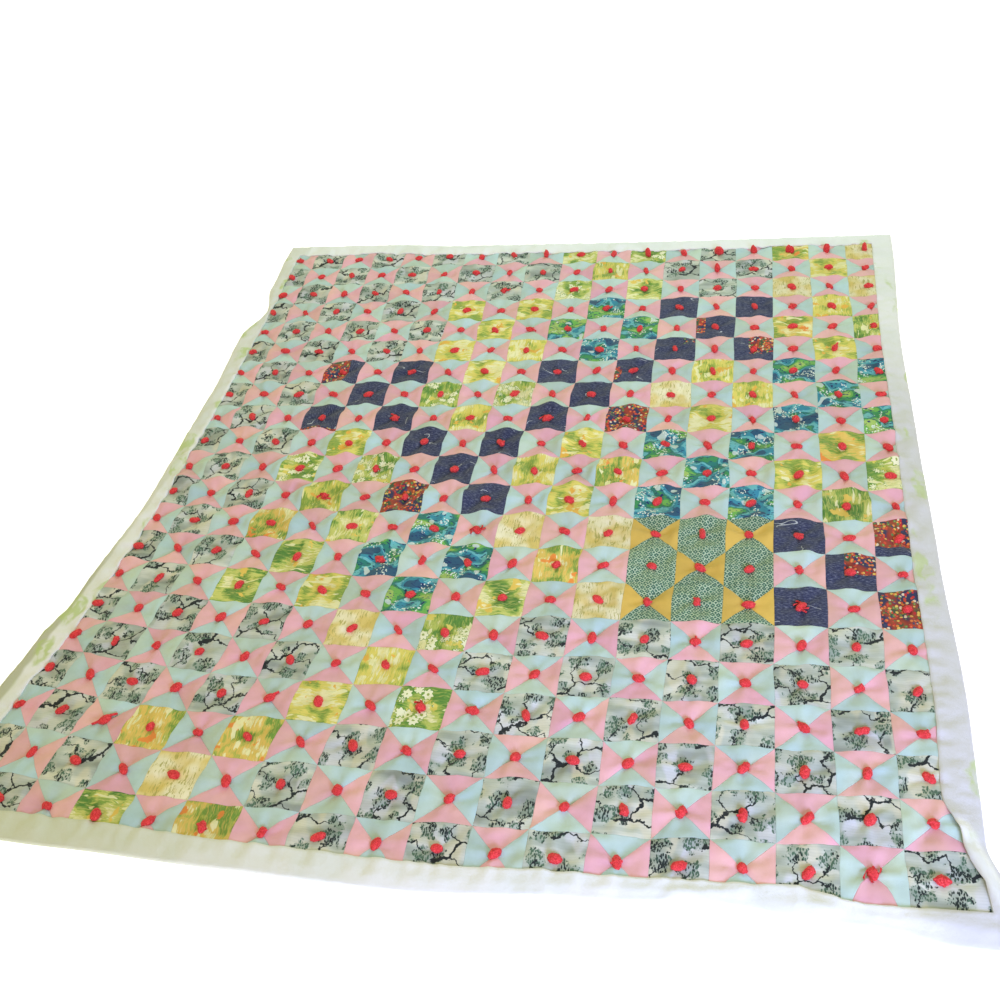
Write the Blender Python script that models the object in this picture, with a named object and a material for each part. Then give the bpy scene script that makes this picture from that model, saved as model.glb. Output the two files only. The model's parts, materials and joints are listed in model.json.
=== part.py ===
"""A hand-tied patchwork quilt lying flat, in metres, +Z up.

Two pieces: the filled panel of 18 by 21 pieced blocks, pulled down by a knot of yarn in the middle of
each block, and the backing sheet under it, whose edge is turned over on to the front all round as a
hem. The quilt's near end is at -Y. Places on it are given in blocks, counted from its near left corner.
"""

from collections import namedtuple
from math import exp, pi, sin

import bmesh
import bpy
from mathutils import Vector, noise

COLUMNS = 18
ROWS = 21
BLOCK = 0.1016

SHEET = 0.0015
GAP = 0.0005
PANEL_UNDER = SHEET + GAP

TIE_HEIGHT = 0.009
CORNER_HEIGHT = 0.015
SEAM_HEIGHT = 0.021
HEM_HEIGHT = 0.014
EDGE_HEIGHT = 0.009
UNEVEN_HEIGHT = 0.0025
UNEVEN_PLAN = 0.045
UNEVEN_PER_BLOCK = 0.9

KNOT_RADIUS = 0.011
KNOT_TOP_SHARE = 0.8
KNOT_RISE = 0.008

SIDE_BULGE = 0.002
SIDE_TUCK = 0.003

HEM_LINE = 0.38
LEAST_HEM_TO_TIE = 0.12

Side = namedtuple("Side", "along fold hem")
Tug = namedtuple("Tug", "across along right away reach_across reach_along")
Fold = namedtuple("Fold", "from_across from_along to_across to_along rise width")

# The outer fold and the hem's inner edge, in blocks from the left or from the near end.
LEFT_SIDE = (
    Side(along=0.0, fold=-0.80, hem=-0.22),
    Side(along=2.5, fold=-0.60, hem=-0.02),
    Side(along=4.3, fold=-0.41, hem=0.28),
    Side(along=5.6, fold=-0.13, hem=0.43),
    Side(along=9.3, fold=0.14, hem=0.57),
    Side(along=13.6, fold=0.06, hem=0.50),
    Side(along=16.4, fold=-0.13, hem=0.38),
    Side(along=17.6, fold=0.20, hem=0.40),
    Side(along=19.0, fold=-0.13, hem=0.36),
    Side(along=21.0, fold=-0.27, hem=0.30),
)
RIGHT_SIDE = (
    Side(along=0.0, fold=18.65, hem=18.28),
    Side(along=1.2, fold=18.24, hem=17.90),
    Side(along=2.1, fold=18.26, hem=17.68),
    Side(along=4.5, fold=18.30, hem=17.76),
    Side(along=8.0, fold=18.20, hem=17.70),
    Side(along=12.0, fold=18.14, hem=17.68),
    Side(along=15.5, fold=18.10, hem=17.64),
    Side(along=21.0, fold=18.26, hem=17.72),
)
NEAR_END = (
    Side(along=0.0, fold=-0.02, hem=0.46),
    Side(along=3.0, fold=-0.12, hem=0.40),
    Side(along=6.0, fold=-0.20, hem=0.27),
    Side(along=9.0, fold=-0.28, hem=0.21),
    Side(along=12.0, fold=-0.08, hem=0.31),
    Side(along=14.2, fold=0.08, hem=0.40),
    Side(along=15.3, fold=-0.02, hem=0.46),
    Side(along=16.3, fold=-0.06, hem=0.27),
    Side(along=18.0, fold=-0.26, hem=0.31),
)
FAR_END = (
    Side(along=0.0, fold=21.54, hem=20.94),
    Side(along=3.0, fold=21.54, hem=20.94),
    Side(along=6.0, fold=21.34, hem=20.74),
    Side(along=12.0, fold=21.28, hem=20.74),
    Side(along=18.0, fold=21.34, hem=20.80),
)

# Where the cloth is pulled out of square as it lies.
TUGS = (
    Tug(across=1.0, along=0.0, right=-0.62, away=0.0, reach_across=4.2, reach_along=2.6),
    Tug(across=1.5, along=10.5, right=0.20, away=-0.10, reach_across=4.5, reach_along=3.6),
    Tug(across=5.0, along=21.0, right=-0.25, away=0.12, reach_across=5.5, reach_along=2.4),
    Tug(across=0.0, along=2.5, right=0.0, away=0.36, reach_across=1.8, reach_along=3.0),
    Tug(across=17.5, along=0.8, right=0.0, away=0.30, reach_across=3.0, reach_along=1.6),
    Tug(across=8.0, along=6.0, right=0.0, away=-0.16, reach_across=4.0, reach_along=2.4),
)

# Soft folds that rise above the tufting.
FOLDS = (
    Fold(from_across=17.7, from_along=1.9, to_across=18.4, to_along=0.5, rise=0.006, width=0.25),
    Fold(from_across=11.0, from_along=1.6, to_across=9.3, to_along=3.2, rise=0.004, width=0.30),
    Fold(from_across=11.4, from_along=0.0, to_across=10.9, to_along=1.2, rise=0.004, width=0.30),
    Fold(from_across=14.8, from_along=-0.1, to_across=16.4, to_along=0.3, rise=0.004, width=0.25),
)


def smooth_step(part):
    part = min(max(part, 0.0), 1.0)
    return part * part * (3.0 - 2.0 * part)


def read_side(side, column, along):
    """The value of a side's column at a place along it, eased from one row to the next."""
    if along <= side[0].along:
        return getattr(side[0], column)
    for first, second in zip(side, side[1:]):
        if along <= second.along:
            part = smooth_step((along - first.along) / (second.along - first.along))
            low, high = getattr(first, column), getattr(second, column)
            return low + (high - low) * part
    return getattr(side[-1], column)


def pulled(across, along):
    """A place in the square grid of blocks, moved to where the cloth lies."""
    right = away = 0.0
    for tug in TUGS:
        far_across = (across - tug.across) / tug.reach_across
        far_along = (along - tug.along) / tug.reach_along
        weight = exp(-0.5 * (far_across * far_across + far_along * far_along))
        right += tug.right * weight
        away += tug.away * weight
    wander = noise.noise_vector(Vector((across, along, 0.0)) * UNEVEN_PER_BLOCK)
    return across + right + UNEVEN_PLAN * wander.x, along + away + UNEVEN_PLAN * wander.y


def plan(across, along):
    """Where a line crossing of the lattice lies, in blocks."""
    inner_across = min(max(across, 0.5), COLUMNS - 0.5)
    inner_along = min(max(along, 0.5), ROWS - 0.5)
    x, y = pulled(inner_across, inner_along)
    if across < 0.5:
        hem = min(read_side(LEFT_SIDE, "hem", along), x - LEAST_HEM_TO_TIE)
        x = hem if across > 0.0 else read_side(LEFT_SIDE, "fold", along)
    elif across > COLUMNS - 0.5:
        hem = max(read_side(RIGHT_SIDE, "hem", along), x + LEAST_HEM_TO_TIE)
        x = hem if across < COLUMNS else read_side(RIGHT_SIDE, "fold", along)
    if along < 0.5:
        hem = min(read_side(NEAR_END, "hem", across), y - LEAST_HEM_TO_TIE)
        y = hem if along > 0.0 else read_side(NEAR_END, "fold", across)
    elif along > ROWS - 0.5:
        hem = max(read_side(FAR_END, "hem", across), y + LEAST_HEM_TO_TIE)
        y = hem if along < ROWS else read_side(FAR_END, "fold", across)
    return x, y


def fold_rise(x, y):
    """How far the soft folds lift the cloth at a place."""
    rise = 0.0
    place = Vector((x, y))
    for fold in FOLDS:
        start = Vector((fold.from_across, fold.from_along))
        run = Vector((fold.to_across, fold.to_along)) - start
        part = min(max((place - start).dot(run) / run.length_squared, 0.0), 1.0)
        away = (place - start - run * part).length / fold.width
        rise += fold.rise * exp(-0.5 * away * away)
    return rise


def height(across, along, x, y):
    """The tufted top: low at the knots, raised at the middle of each seam, thin at the outer fold."""
    to_side = min(across, COLUMNS - across, along, ROWS - along)
    uneven = UNEVEN_HEIGHT * noise.noise(Vector((x, y, 5.0)) * UNEVEN_PER_BLOCK)
    if to_side <= 0.0:
        return EDGE_HEIGHT + uneven
    if to_side < 0.5:
        return HEM_HEIGHT + uneven + fold_rise(x, y)
    by_column = sin(pi * across) ** 2
    by_row = sin(pi * along) ** 2
    seam = by_column * (1.0 - by_row) + by_row * (1.0 - by_column)
    corner = (1.0 - by_column) * (1.0 - by_row)
    tufting = (SEAM_HEIGHT - TIE_HEIGHT) * seam + (CORNER_HEIGHT - TIE_HEIGHT) * corner
    return TIE_HEIGHT + tufting + uneven + fold_rise(x, y)


def lattice_lines(blocks):
    """Half-block lines, with one more at each end for the hem's inner edge."""
    halves = [half / 2 for half in range(2 * blocks + 1)]
    return [0.0, HEM_LINE] + halves[1:-1] + [blocks - HEM_LINE, float(blocks)]


def outward_of(across, along):
    """The way out of the quilt at a crossing on its outer fold, and a zero vector elsewhere."""
    right = (across == COLUMNS) - (across == 0.0)
    away = (along == ROWS) - (along == 0.0)
    return Vector((right, away, 0.0))


def add_top(bm, spread, rise):
    """A lattice of quads over the whole quilt, spread out at its rim and raised; gives each crossing."""
    lines_across, lines_along = lattice_lines(COLUMNS), lattice_lines(ROWS)
    steps_across, steps_along = len(lines_across) - 1, len(lines_along) - 1
    grid = bmesh.ops.create_grid(bm, x_segments=steps_across, y_segments=steps_along, size=1.0)
    crossings = {}
    for vertex in grid["verts"]:
        across = lines_across[round((vertex.co.x + 1.0) / 2.0 * steps_across)]
        along = lines_along[round((vertex.co.y + 1.0) / 2.0 * steps_along)]
        x, y = plan(across, along)
        place = Vector((x * BLOCK, y * BLOCK, height(across, along, x, y) + rise))
        vertex.co = place + outward_of(across, along) * spread
        crossings[vertex] = (across, along)
    return crossings


def add_under(bm, crossings, under):
    """Sides that bulge a little from the top's outer rim down to a flat underside."""
    rim = [
        edge
        for edge in bm.edges
        if edge.is_boundary
        and all(v in crossings and outward_of(*crossings[v]).length > 0.0 for v in edge.verts)
    ]
    outward = {v: outward_of(*crossings[v]) for edge in rim for v in edge.verts}
    for share, out in ((0.5, SIDE_BULGE), (1.0, -SIDE_TUCK - SIDE_BULGE)):
        made = bmesh.ops.extrude_edge_only(bm, edges=rim)["geom"]
        new = {item for item in made if isinstance(item, bmesh.types.BMVert)}
        rim = [e for e in made if isinstance(e, bmesh.types.BMEdge) and set(e.verts) <= new]
        new_outward = {}
        for vertex in new:
            over = next(
                edge.other_vert(vertex)
                for edge in vertex.link_edges
                if edge.other_vert(vertex) not in new
            )
            way = outward[over]
            vertex.co = over.co + way * out
            vertex.co.z = over.co.z + (under - over.co.z) * share
            new_outward[vertex] = way
        outward = new_outward
    bmesh.ops.contextual_create(bm, geom=rim)


def in_hem(face, crossings):
    """Whether a quad of the lattice lies between the outer fold and the hem's inner edge."""
    across = sum(crossings[v][0] for v in face.verts) / len(face.verts)
    along = sum(crossings[v][1] for v in face.verts) / len(face.verts)
    return min(across, COLUMNS - across, along, ROWS - along) < HEM_LINE


def raise_knots(bm, crossings):
    """A small raised knot at the middle of each block, with a flat top."""
    ties = [v for v, (across, along) in crossings.items() if across % 1.0 == 0.5 and along % 1.0 == 0.5]
    bevelled = bmesh.ops.bevel(bm, geom=ties, offset=KNOT_RADIUS, affect="VERTICES", segments=1)
    knots = [face for face in bevelled["faces"] if len(face.verts) == 4]
    raised = bmesh.ops.extrude_discrete_faces(bm, faces=knots)["faces"]
    for face in raised:
        middle = face.calc_center_median()
        for vertex in face.verts:
            vertex.co = middle + (vertex.co - middle) * KNOT_TOP_SHARE
            vertex.co.z += KNOT_RISE


def cloth_material(name, colour, roughness):
    material = bpy.data.materials.new(name)
    material.use_nodes = True
    surface = material.node_tree.nodes["Principled BSDF"]
    surface.inputs["Base Color"].default_value = (*colour, 1.0)
    surface.inputs["Roughness"].default_value = roughness
    surface.inputs["Metallic"].default_value = 0.0
    return material


def add_object(name, bm, collection, material):
    """Triangulates the shape and makes it an object of one material."""
    bmesh.ops.triangulate(bm, faces=bm.faces, quad_method="FIXED", ngon_method="BEAUTY")
    bmesh.ops.recalc_face_normals(bm, faces=bm.faces)
    mesh = bpy.data.meshes.new(name)
    bm.to_mesh(mesh)
    bm.free()
    mesh.materials.append(material)
    made = bpy.data.objects.new(name, mesh)
    collection.objects.link(made)
    return made


def make_panel(collection):
    """The pieced top and its filling, as one filled solid with a flat underside."""
    bm = bmesh.new()
    crossings = add_top(bm, spread=0.0, rise=0.0)
    add_under(bm, crossings, PANEL_UNDER)
    raise_knots(bm, crossings)
    material = cloth_material("pieced_cotton", (0.52, 0.58, 0.50), 0.9)
    return add_object("patchwork_panel", bm, collection, material)


def make_backing(collection):
    """The sheet under the panel, round its edge and over on to the front, as one thin cloth."""
    bm = bmesh.new()
    hem_edges = []
    for spread, under in ((GAP, SHEET), (GAP + SHEET, 0.0)):
        crossings = add_top(bm, spread=spread, rise=spread)
        middle = {face for v in crossings for face in v.link_faces if not in_hem(face, crossings)}
        bmesh.ops.delete(bm, geom=list(middle), context="FACES")
        crossings = {v: place for v, place in crossings.items() if v.is_valid}
        hem_edges += [
            edge
            for edge in bm.edges
            if edge.is_boundary
            and all(v in crossings and outward_of(*crossings[v]).length == 0.0 for v in edge.verts)
        ]
        add_under(bm, crossings, under)
    bmesh.ops.bridge_loops(bm, edges=hem_edges)
    material = cloth_material("backing_cotton", (0.84, 0.87, 0.76), 0.9)
    return add_object("backing_sheet", bm, collection, material)


def centre_on_origin(parts):
    """Puts the origin at the bottom centre of the box round all the parts."""
    corners = [vertex.co for part in parts for vertex in part.data.vertices]
    middle_x = (min(co.x for co in corners) + max(co.x for co in corners)) / 2.0
    middle_y = (min(co.y for co in corners) + max(co.y for co in corners)) / 2.0
    for part in parts:
        for vertex in part.data.vertices:
            vertex.co.x -= middle_x
            vertex.co.y -= middle_y


def main():
    for old in list(bpy.data.objects):
        bpy.data.objects.remove(old, do_unlink=True)
    collection = bpy.data.collections.new("patchwork_quilt")
    bpy.context.scene.collection.children.link(collection)
    centre_on_origin([make_panel(collection), make_backing(collection)])


main()
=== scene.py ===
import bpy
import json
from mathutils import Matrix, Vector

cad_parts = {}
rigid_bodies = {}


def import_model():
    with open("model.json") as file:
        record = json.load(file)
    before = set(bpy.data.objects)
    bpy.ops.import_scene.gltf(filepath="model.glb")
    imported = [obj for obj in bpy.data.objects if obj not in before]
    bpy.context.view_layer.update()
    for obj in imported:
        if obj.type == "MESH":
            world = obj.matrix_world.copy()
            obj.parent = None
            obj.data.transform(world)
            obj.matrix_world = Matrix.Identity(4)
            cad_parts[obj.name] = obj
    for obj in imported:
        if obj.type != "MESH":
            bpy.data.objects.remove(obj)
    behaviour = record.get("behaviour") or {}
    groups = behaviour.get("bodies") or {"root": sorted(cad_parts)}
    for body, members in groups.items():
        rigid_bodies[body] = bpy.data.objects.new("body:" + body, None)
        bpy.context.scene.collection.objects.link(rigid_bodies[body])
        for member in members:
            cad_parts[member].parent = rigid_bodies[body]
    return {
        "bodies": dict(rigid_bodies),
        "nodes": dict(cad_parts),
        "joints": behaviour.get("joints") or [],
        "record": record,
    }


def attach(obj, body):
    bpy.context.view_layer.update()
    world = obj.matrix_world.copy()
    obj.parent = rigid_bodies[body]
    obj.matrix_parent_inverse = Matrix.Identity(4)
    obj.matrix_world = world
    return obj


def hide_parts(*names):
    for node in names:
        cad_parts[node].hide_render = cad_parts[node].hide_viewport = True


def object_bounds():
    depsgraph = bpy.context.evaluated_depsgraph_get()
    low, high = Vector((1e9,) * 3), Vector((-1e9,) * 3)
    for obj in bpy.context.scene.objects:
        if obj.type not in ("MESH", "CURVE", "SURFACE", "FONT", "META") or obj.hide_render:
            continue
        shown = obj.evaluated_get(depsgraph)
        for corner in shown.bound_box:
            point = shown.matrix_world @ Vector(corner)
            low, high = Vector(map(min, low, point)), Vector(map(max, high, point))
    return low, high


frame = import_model()
CAD_BOX = [list(corner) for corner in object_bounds()]

import json
import math
import random
from collections import namedtuple
from functools import reduce

import bmesh
import bpy
import numpy as np
from mathutils import Matrix, Vector, noise
from mathutils.bvhtree import BVHTree

bl_info = {
    "name": "Hand-Tied Patchwork Quilt",
    "version": (1, 0, 0),
    "blender": (4, 5, 0),
    "location": "3D View > Sidebar > Quilt",
    "description": "Builds a puffy patchwork quilt of hourglass blocks and print squares, tied with red yarn",
    "category": "Add Mesh",
}

# Sizes of the quilt, in blocks unless a name says otherwise
COLUMNS = 18
ROWS = 21
UNIT = 3
RIM_METRES = 0.004
HEM_LINE = 0.38
LEAST_HEM_TO_TIE = 0.12
UNEVEN_PLAN = 0.045
UNEVEN_PER_BLOCK = 0.9
UNEVEN_SEED = 1795826253

Side = namedtuple("Side", "along fold hem")
Tug = namedtuple("Tug", "across along right away reach_across reach_along")
Fold = namedtuple("Fold", "from_across from_along to_across to_along rise width")
Cut = namedtuple("Cut", "row column left right near far")

# The outer fold and the hem's inner edge, in blocks from the left or from the near end
LEFT_SIDE = (
    Side(0.0, -0.80, -0.22), Side(2.5, -0.60, -0.02), Side(4.3, -0.41, 0.28), Side(5.6, -0.13, 0.43),
    Side(9.3, 0.14, 0.57), Side(13.6, 0.06, 0.50), Side(16.4, -0.13, 0.38), Side(17.6, 0.20, 0.40),
    Side(19.0, -0.13, 0.36), Side(21.0, -0.27, 0.30),
)
RIGHT_SIDE = (
    Side(0.0, 18.65, 18.28), Side(1.2, 18.24, 17.90), Side(2.1, 18.26, 17.68), Side(4.5, 18.30, 17.76),
    Side(8.0, 18.20, 17.70), Side(12.0, 18.14, 17.68), Side(15.5, 18.10, 17.64), Side(21.0, 18.26, 17.72),
)
NEAR_END = (
    Side(0.0, -0.02, 0.46), Side(3.0, -0.12, 0.40), Side(6.0, -0.20, 0.27), Side(9.0, -0.28, 0.21),
    Side(12.0, -0.08, 0.31), Side(14.2, 0.08, 0.40), Side(15.3, -0.02, 0.46), Side(16.3, -0.06, 0.27),
    Side(18.0, -0.26, 0.31),
)
FAR_END = (
    Side(0.0, 21.54, 20.94), Side(3.0, 21.54, 20.94), Side(6.0, 21.34, 20.74), Side(12.0, 21.28, 20.74),
    Side(18.0, 21.34, 20.80),
)

# Where the cloth is pulled out of square as it lies
TUGS = (
    Tug(1.0, 0.0, right=-0.62, away=0.0, reach_across=4.2, reach_along=2.6),
    Tug(1.5, 10.5, right=0.20, away=-0.10, reach_across=4.5, reach_along=3.6),
    Tug(5.0, 21.0, right=-0.25, away=0.12, reach_across=5.5, reach_along=2.4),
    Tug(0.0, 2.5, right=0.0, away=0.36, reach_across=1.8, reach_along=3.0),
    Tug(17.5, 0.8, right=0.0, away=0.30, reach_across=3.0, reach_along=1.6),
    Tug(8.0, 6.0, right=0.0, away=-0.16, reach_across=4.0, reach_along=2.4),
)

# Soft folds that rise above the tufting, with rise in metres
FOLDS = (
    Fold(17.7, 1.9, 18.4, 0.5, rise=0.006, width=0.16),
    Fold(11.0, 1.6, 9.3, 3.2, rise=0.004, width=0.14),
    Fold(11.4, 0.0, 10.9, 1.2, rise=0.004, width=0.10),
    Fold(14.8, -0.1, 16.4, 0.3, rise=0.004, width=0.12),
)

# One letter for each unit of 3 by 3 blocks, from the far left: the family of its print squares
FAMILIES = ("GGGYGY", "GGYTNY", "GNYNYT", "GYNYTY", "GYTYLN", "GGYGGG", "GYGGGG")
# H has the pink triangles at the left and right of its hourglass blocks, and V at the near and far sides
TURNS = ("HHVHVV", "HVHHVV", "HHHHVV", "VVVVVV", "VVHHHH", "VHVHVH", "HVHVHV")
TURNED_BACK = ((5, 13), (14, 8), (15, 7), (20, 12))
FAMILY_CLOTH = {
    "G": "grey_branches", "Y": "meadow_yellow", "T": "teal_hills", "N": "navy_weave", "L": "green_scroll",
}

# Squares cut from another part of the meadow cloths, as (row, column) from the far left
OTHER_CUTS = {
    "daisy_green": ((8, 7), (8, 9), (11, 4), (11, 6), (11, 18), (16, 9), (18, 9), (1, 12), (3, 10)),
    "cream_leaves": ((3, 16), (3, 18), (8, 13), (13, 10), (13, 12), (15, 12), (16, 7), (20, 5), (1, 18)),
    "meadow_orange": ((1, 16), (5, 16), (10, 17), (11, 12), (13, 4), (14, 11), (19, 4), (19, 6), (21, 6)),
    "meadow_green": ((1, 10), (3, 12), (5, 18), (12, 17), (13, 6), (14, 5), (15, 4), (15, 10), (21, 4)),
}

# Where a navy square shows the flowered part of its cloth, as shares of the square
CALICO_CUTS = (
    Cut(7, 4, left=0.0, right=0.6, near=0.0, far=1.0),
    Cut(9, 12, left=0.0, right=1.0, near=0.0, far=1.0),
    Cut(12, 7, left=0.0, right=1.0, near=0.0, far=1.0),
    Cut(6, 15, left=0.35, right=1.0, near=0.3, far=1.0),
    Cut(6, 13, left=0.7, right=1.0, near=0.75, far=1.0),
    Cut(5, 14, left=0.0, right=0.25, near=0.3, far=1.0),
    Cut(7, 12, left=0.0, right=0.2, near=0.1, far=0.6),
    Cut(14, 17, left=0.35, right=1.0, near=0.45, far=1.0),
    Cut(13, 18, left=0.0, right=1.0, near=0.25, far=1.0),
    Cut(15, 18, left=0.0, right=1.0, near=0.0, far=1.0),
    Cut(9, 4, left=0.0, right=1.0, near=0.0, far=0.06),
)


def fold_range(*sides):
    """The lowest and highest place of the outer fold along some sides."""
    folds = [row.fold for side in sides for row in side]
    return min(folds), max(folds)


LEFTMOST, RIGHTMOST = fold_range(LEFT_SIDE, RIGHT_SIDE)
NEAREST, FARTHEST = fold_range(NEAR_END, FAR_END)
CAD_WIDTH = CAD_BOX[1][0] - CAD_BOX[0][0]
BLOCK = (CAD_WIDTH - 2.0 * RIM_METRES) / (RIGHTMOST - LEFTMOST)
MIDDLE_ACROSS = (LEFTMOST + RIGHTMOST) / 2.0
MIDDLE_ALONG = (NEAREST + FARTHEST) / 2.0


class QuiltSettings(bpy.types.PropertyGroup):
    """What a user of the quilt would change."""

    cells: bpy.props.IntProperty(
        name="Cells",
        description="Grid cells along one side of a block of the pieced top",
        default=16,
        min=8,
        max=24,
    )
    tie_height: bpy.props.FloatProperty(
        name="Tie Height",
        description="Height of the cloth round a tie",
        default=0.0105,
        unit="LENGTH",
    )
    corner_height: bpy.props.FloatProperty(
        name="Corner Height",
        description="Height of the cloth where four blocks meet",
        default=0.0115,
        unit="LENGTH",
    )
    seam_height: bpy.props.FloatProperty(
        name="Seam Height",
        description="Height of the cloth at the middle of a seam, where the quilt is full",
        default=0.0225,
        unit="LENGTH",
    )
    near_seam_height: bpy.props.FloatProperty(
        name="Near Seam Height",
        description="Height of the cloth at the middle of a seam, where the quilt is flat at its near end",
        default=0.0145,
        unit="LENGTH",
    )
    edge_height: bpy.props.FloatProperty(
        name="Edge Height",
        description="Height of the quilt close to its outer fold",
        default=0.009,
        unit="LENGTH",
    )
    hem_thickness: bpy.props.FloatProperty(
        name="Hem Thickness",
        description="How far the turned-over hem stands above the pieced top",
        default=0.0014,
        unit="LENGTH",
    )
    knot_radius: bpy.props.FloatProperty(
        name="Knot Radius",
        description="Half the width of a yarn knot",
        default=0.0105,
        unit="LENGTH",
    )
    yarn_thickness: bpy.props.FloatProperty(
        name="Yarn Thickness",
        description="Thickness of the tie yarn",
        default=0.0062,
        unit="LENGTH",
    )
    pink: bpy.props.FloatVectorProperty(
        name="Pink", description="The pink triangles", subtype="COLOR", size=3, default=(0.785, 0.462, 0.415)
    )
    aqua: bpy.props.FloatVectorProperty(
        name="Aqua", description="The aqua triangles", subtype="COLOR", size=3, default=(0.515, 0.625, 0.52)
    )
    yarn: bpy.props.FloatVectorProperty(
        name="Yarn", description="The wool of the ties", subtype="COLOR", size=3, default=(0.84, 0.045, 0.052)
    )


def settings():
    return bpy.context.scene.quilt_settings


# Where the cloth lies

def smooth_step(part):
    part = np.clip(part, 0.0, 1.0)
    return part * part * (3.0 - 2.0 * part)


def read_side(side, column, along):
    """The value of a side's column at places along it, eased from one row to the next."""
    starts = np.array([row.along for row in side])
    values = np.array([getattr(row, column) for row in side])
    along = np.clip(along, starts[0], starts[-1])
    after = np.clip(np.searchsorted(starts, along, side="right"), 1, len(starts) - 1)
    part = smooth_step((along - starts[after - 1]) / (starts[after] - starts[after - 1]))
    return values[after - 1] + (values[after] - values[after - 1]) * part


def noise_at(across, along, layer, per_block):
    """Smooth noise from -1 to 1 at places on the quilt."""
    return np.array(
        [noise.noise(Vector((a * per_block, b * per_block, layer))) for a, b in zip(across, along)]
    )


def pulled(across, along):
    """Places in the square grid of blocks, moved to where the cloth lies."""
    right = np.zeros_like(across)
    away = np.zeros_like(across)
    for tug in TUGS:
        far_across = (across - tug.across) / tug.reach_across
        far_along = (along - tug.along) / tug.reach_along
        weight = np.exp(-0.5 * (far_across**2 + far_along**2))
        right += tug.right * weight
        away += tug.away * weight
    noise.seed_set(UNEVEN_SEED)
    wander = np.array(
        [noise.noise_vector(Vector((a, b, 0.0)) * UNEVEN_PER_BLOCK) for a, b in zip(across, along)]
    )
    return across + right + UNEVEN_PLAN * wander[:, 0], along + away + UNEVEN_PLAN * wander[:, 1]


RIM_REACH = 0.35
RIM_INSET = 0.03


def near_ties(across, along):
    """Each place's nearest place within the outer ties, and where that lies."""
    inner_across = np.clip(across, 0.5, COLUMNS - 0.5)
    inner_along = np.clip(along, 0.5, ROWS - 0.5)
    x, y = pulled(inner_across, inner_along)
    return inner_across, inner_along, x, y


def drawn_to_rim(place, sides, from_start, total, beside):
    """Places between two opposite sides, drawn out under the hem towards the outer fold near each."""
    for side, from_edge, inward in zip(sides, (from_start, total - from_start), (1.0, -1.0)):
        rim = read_side(side, "fold", beside) + inward * RIM_INSET + inward * from_edge
        place = place + (rim - place) * smooth_step(1.0 - from_edge / RIM_REACH)
    return place


def plan(across, along):
    """Where places of the pieced top lie, in blocks, with its rim drawn out under the hem to the fold."""
    inner_across, inner_along, x, y = near_ties(across, along)
    x = drawn_to_rim(x + across - inner_across, (LEFT_SIDE, RIGHT_SIDE), across, COLUMNS, along)
    y = drawn_to_rim(y + along - inner_along, (NEAR_END, FAR_END), along, ROWS, across)
    return x, y


def to_tie(across, along):
    """How far places lie from the nearest tie, in blocks."""
    return np.hypot((across % 1.0) - 0.5, (along % 1.0) - 0.5)


def to_side(across, along):
    """How far places lie from the nearest side of the pieced top, in blocks."""
    return np.minimum.reduce([across, COLUMNS - across, along, ROWS - along])


def fold_rise(x, y, folds=FOLDS):
    """How far the soft folds lift the cloth."""
    rise = np.zeros_like(x)
    for fold in folds:
        run_x = fold.to_across - fold.from_across
        run_y = fold.to_along - fold.from_along
        length = run_x**2 + run_y**2
        part = np.clip(((x - fold.from_across) * run_x + (y - fold.from_along) * run_y) / length, 0, 1)
        away_x = x - fold.from_across - run_x * part
        away_y = y - fold.from_along - run_y * part
        rise += fold.rise * np.exp(-0.5 * (away_x**2 + away_y**2) / fold.width**2)
    return rise


DIP_REACH = 0.15
DIP_DEPTH = 0.0016
STAR_REACH = 0.26
STAR_HEIGHT = 0.0018
UNEVEN_HEIGHT = 0.0025
SEAM_LENGTH_SHARPNESS = 1.3
SEAM_WIDTH_SHARPNESS = 2.6
PUFF_SKEW = 0.10
FLAT_UP_TO = 5.0
FULL_FROM = 10.0
FAR_FULLNESS = 0.12
FULL_BEFORE = 10.0
THIN_FROM = 16.5


def star_creases(across, along):
    """Small creases that run out from each tie, another star for each."""
    from_x, from_y = (across % 1.0) - 0.5, (along % 1.0) - 0.5
    reach = np.hypot(from_x, from_y) / STAR_REACH
    angle = np.arctan2(from_y, from_x)
    turn = 6.0 * noise_at(np.floor(across) + 0.5, np.floor(along) + 0.5, 31.0, 1.7)
    star = np.cos(3.0 * angle + turn) + 0.8 * np.cos(5.0 * angle - 2.0 * turn)
    star = star + 0.5 * np.cos(8.0 * angle + 3.0 * turn)
    return STAR_HEIGHT * star * reach * np.exp(1.0 - reach**1.5)


def fullness(along):
    """How full the puffs are at places along the quilt, from 0 to 1."""
    rising = smooth_step((along - FLAT_UP_TO) / (FULL_FROM - FLAT_UP_TO))
    thinning = smooth_step((along - FULL_BEFORE) / (THIN_FROM - FULL_BEFORE))
    return rising * (1.0 + (FAR_FULLNESS - 1.0) * thinning)


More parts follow.
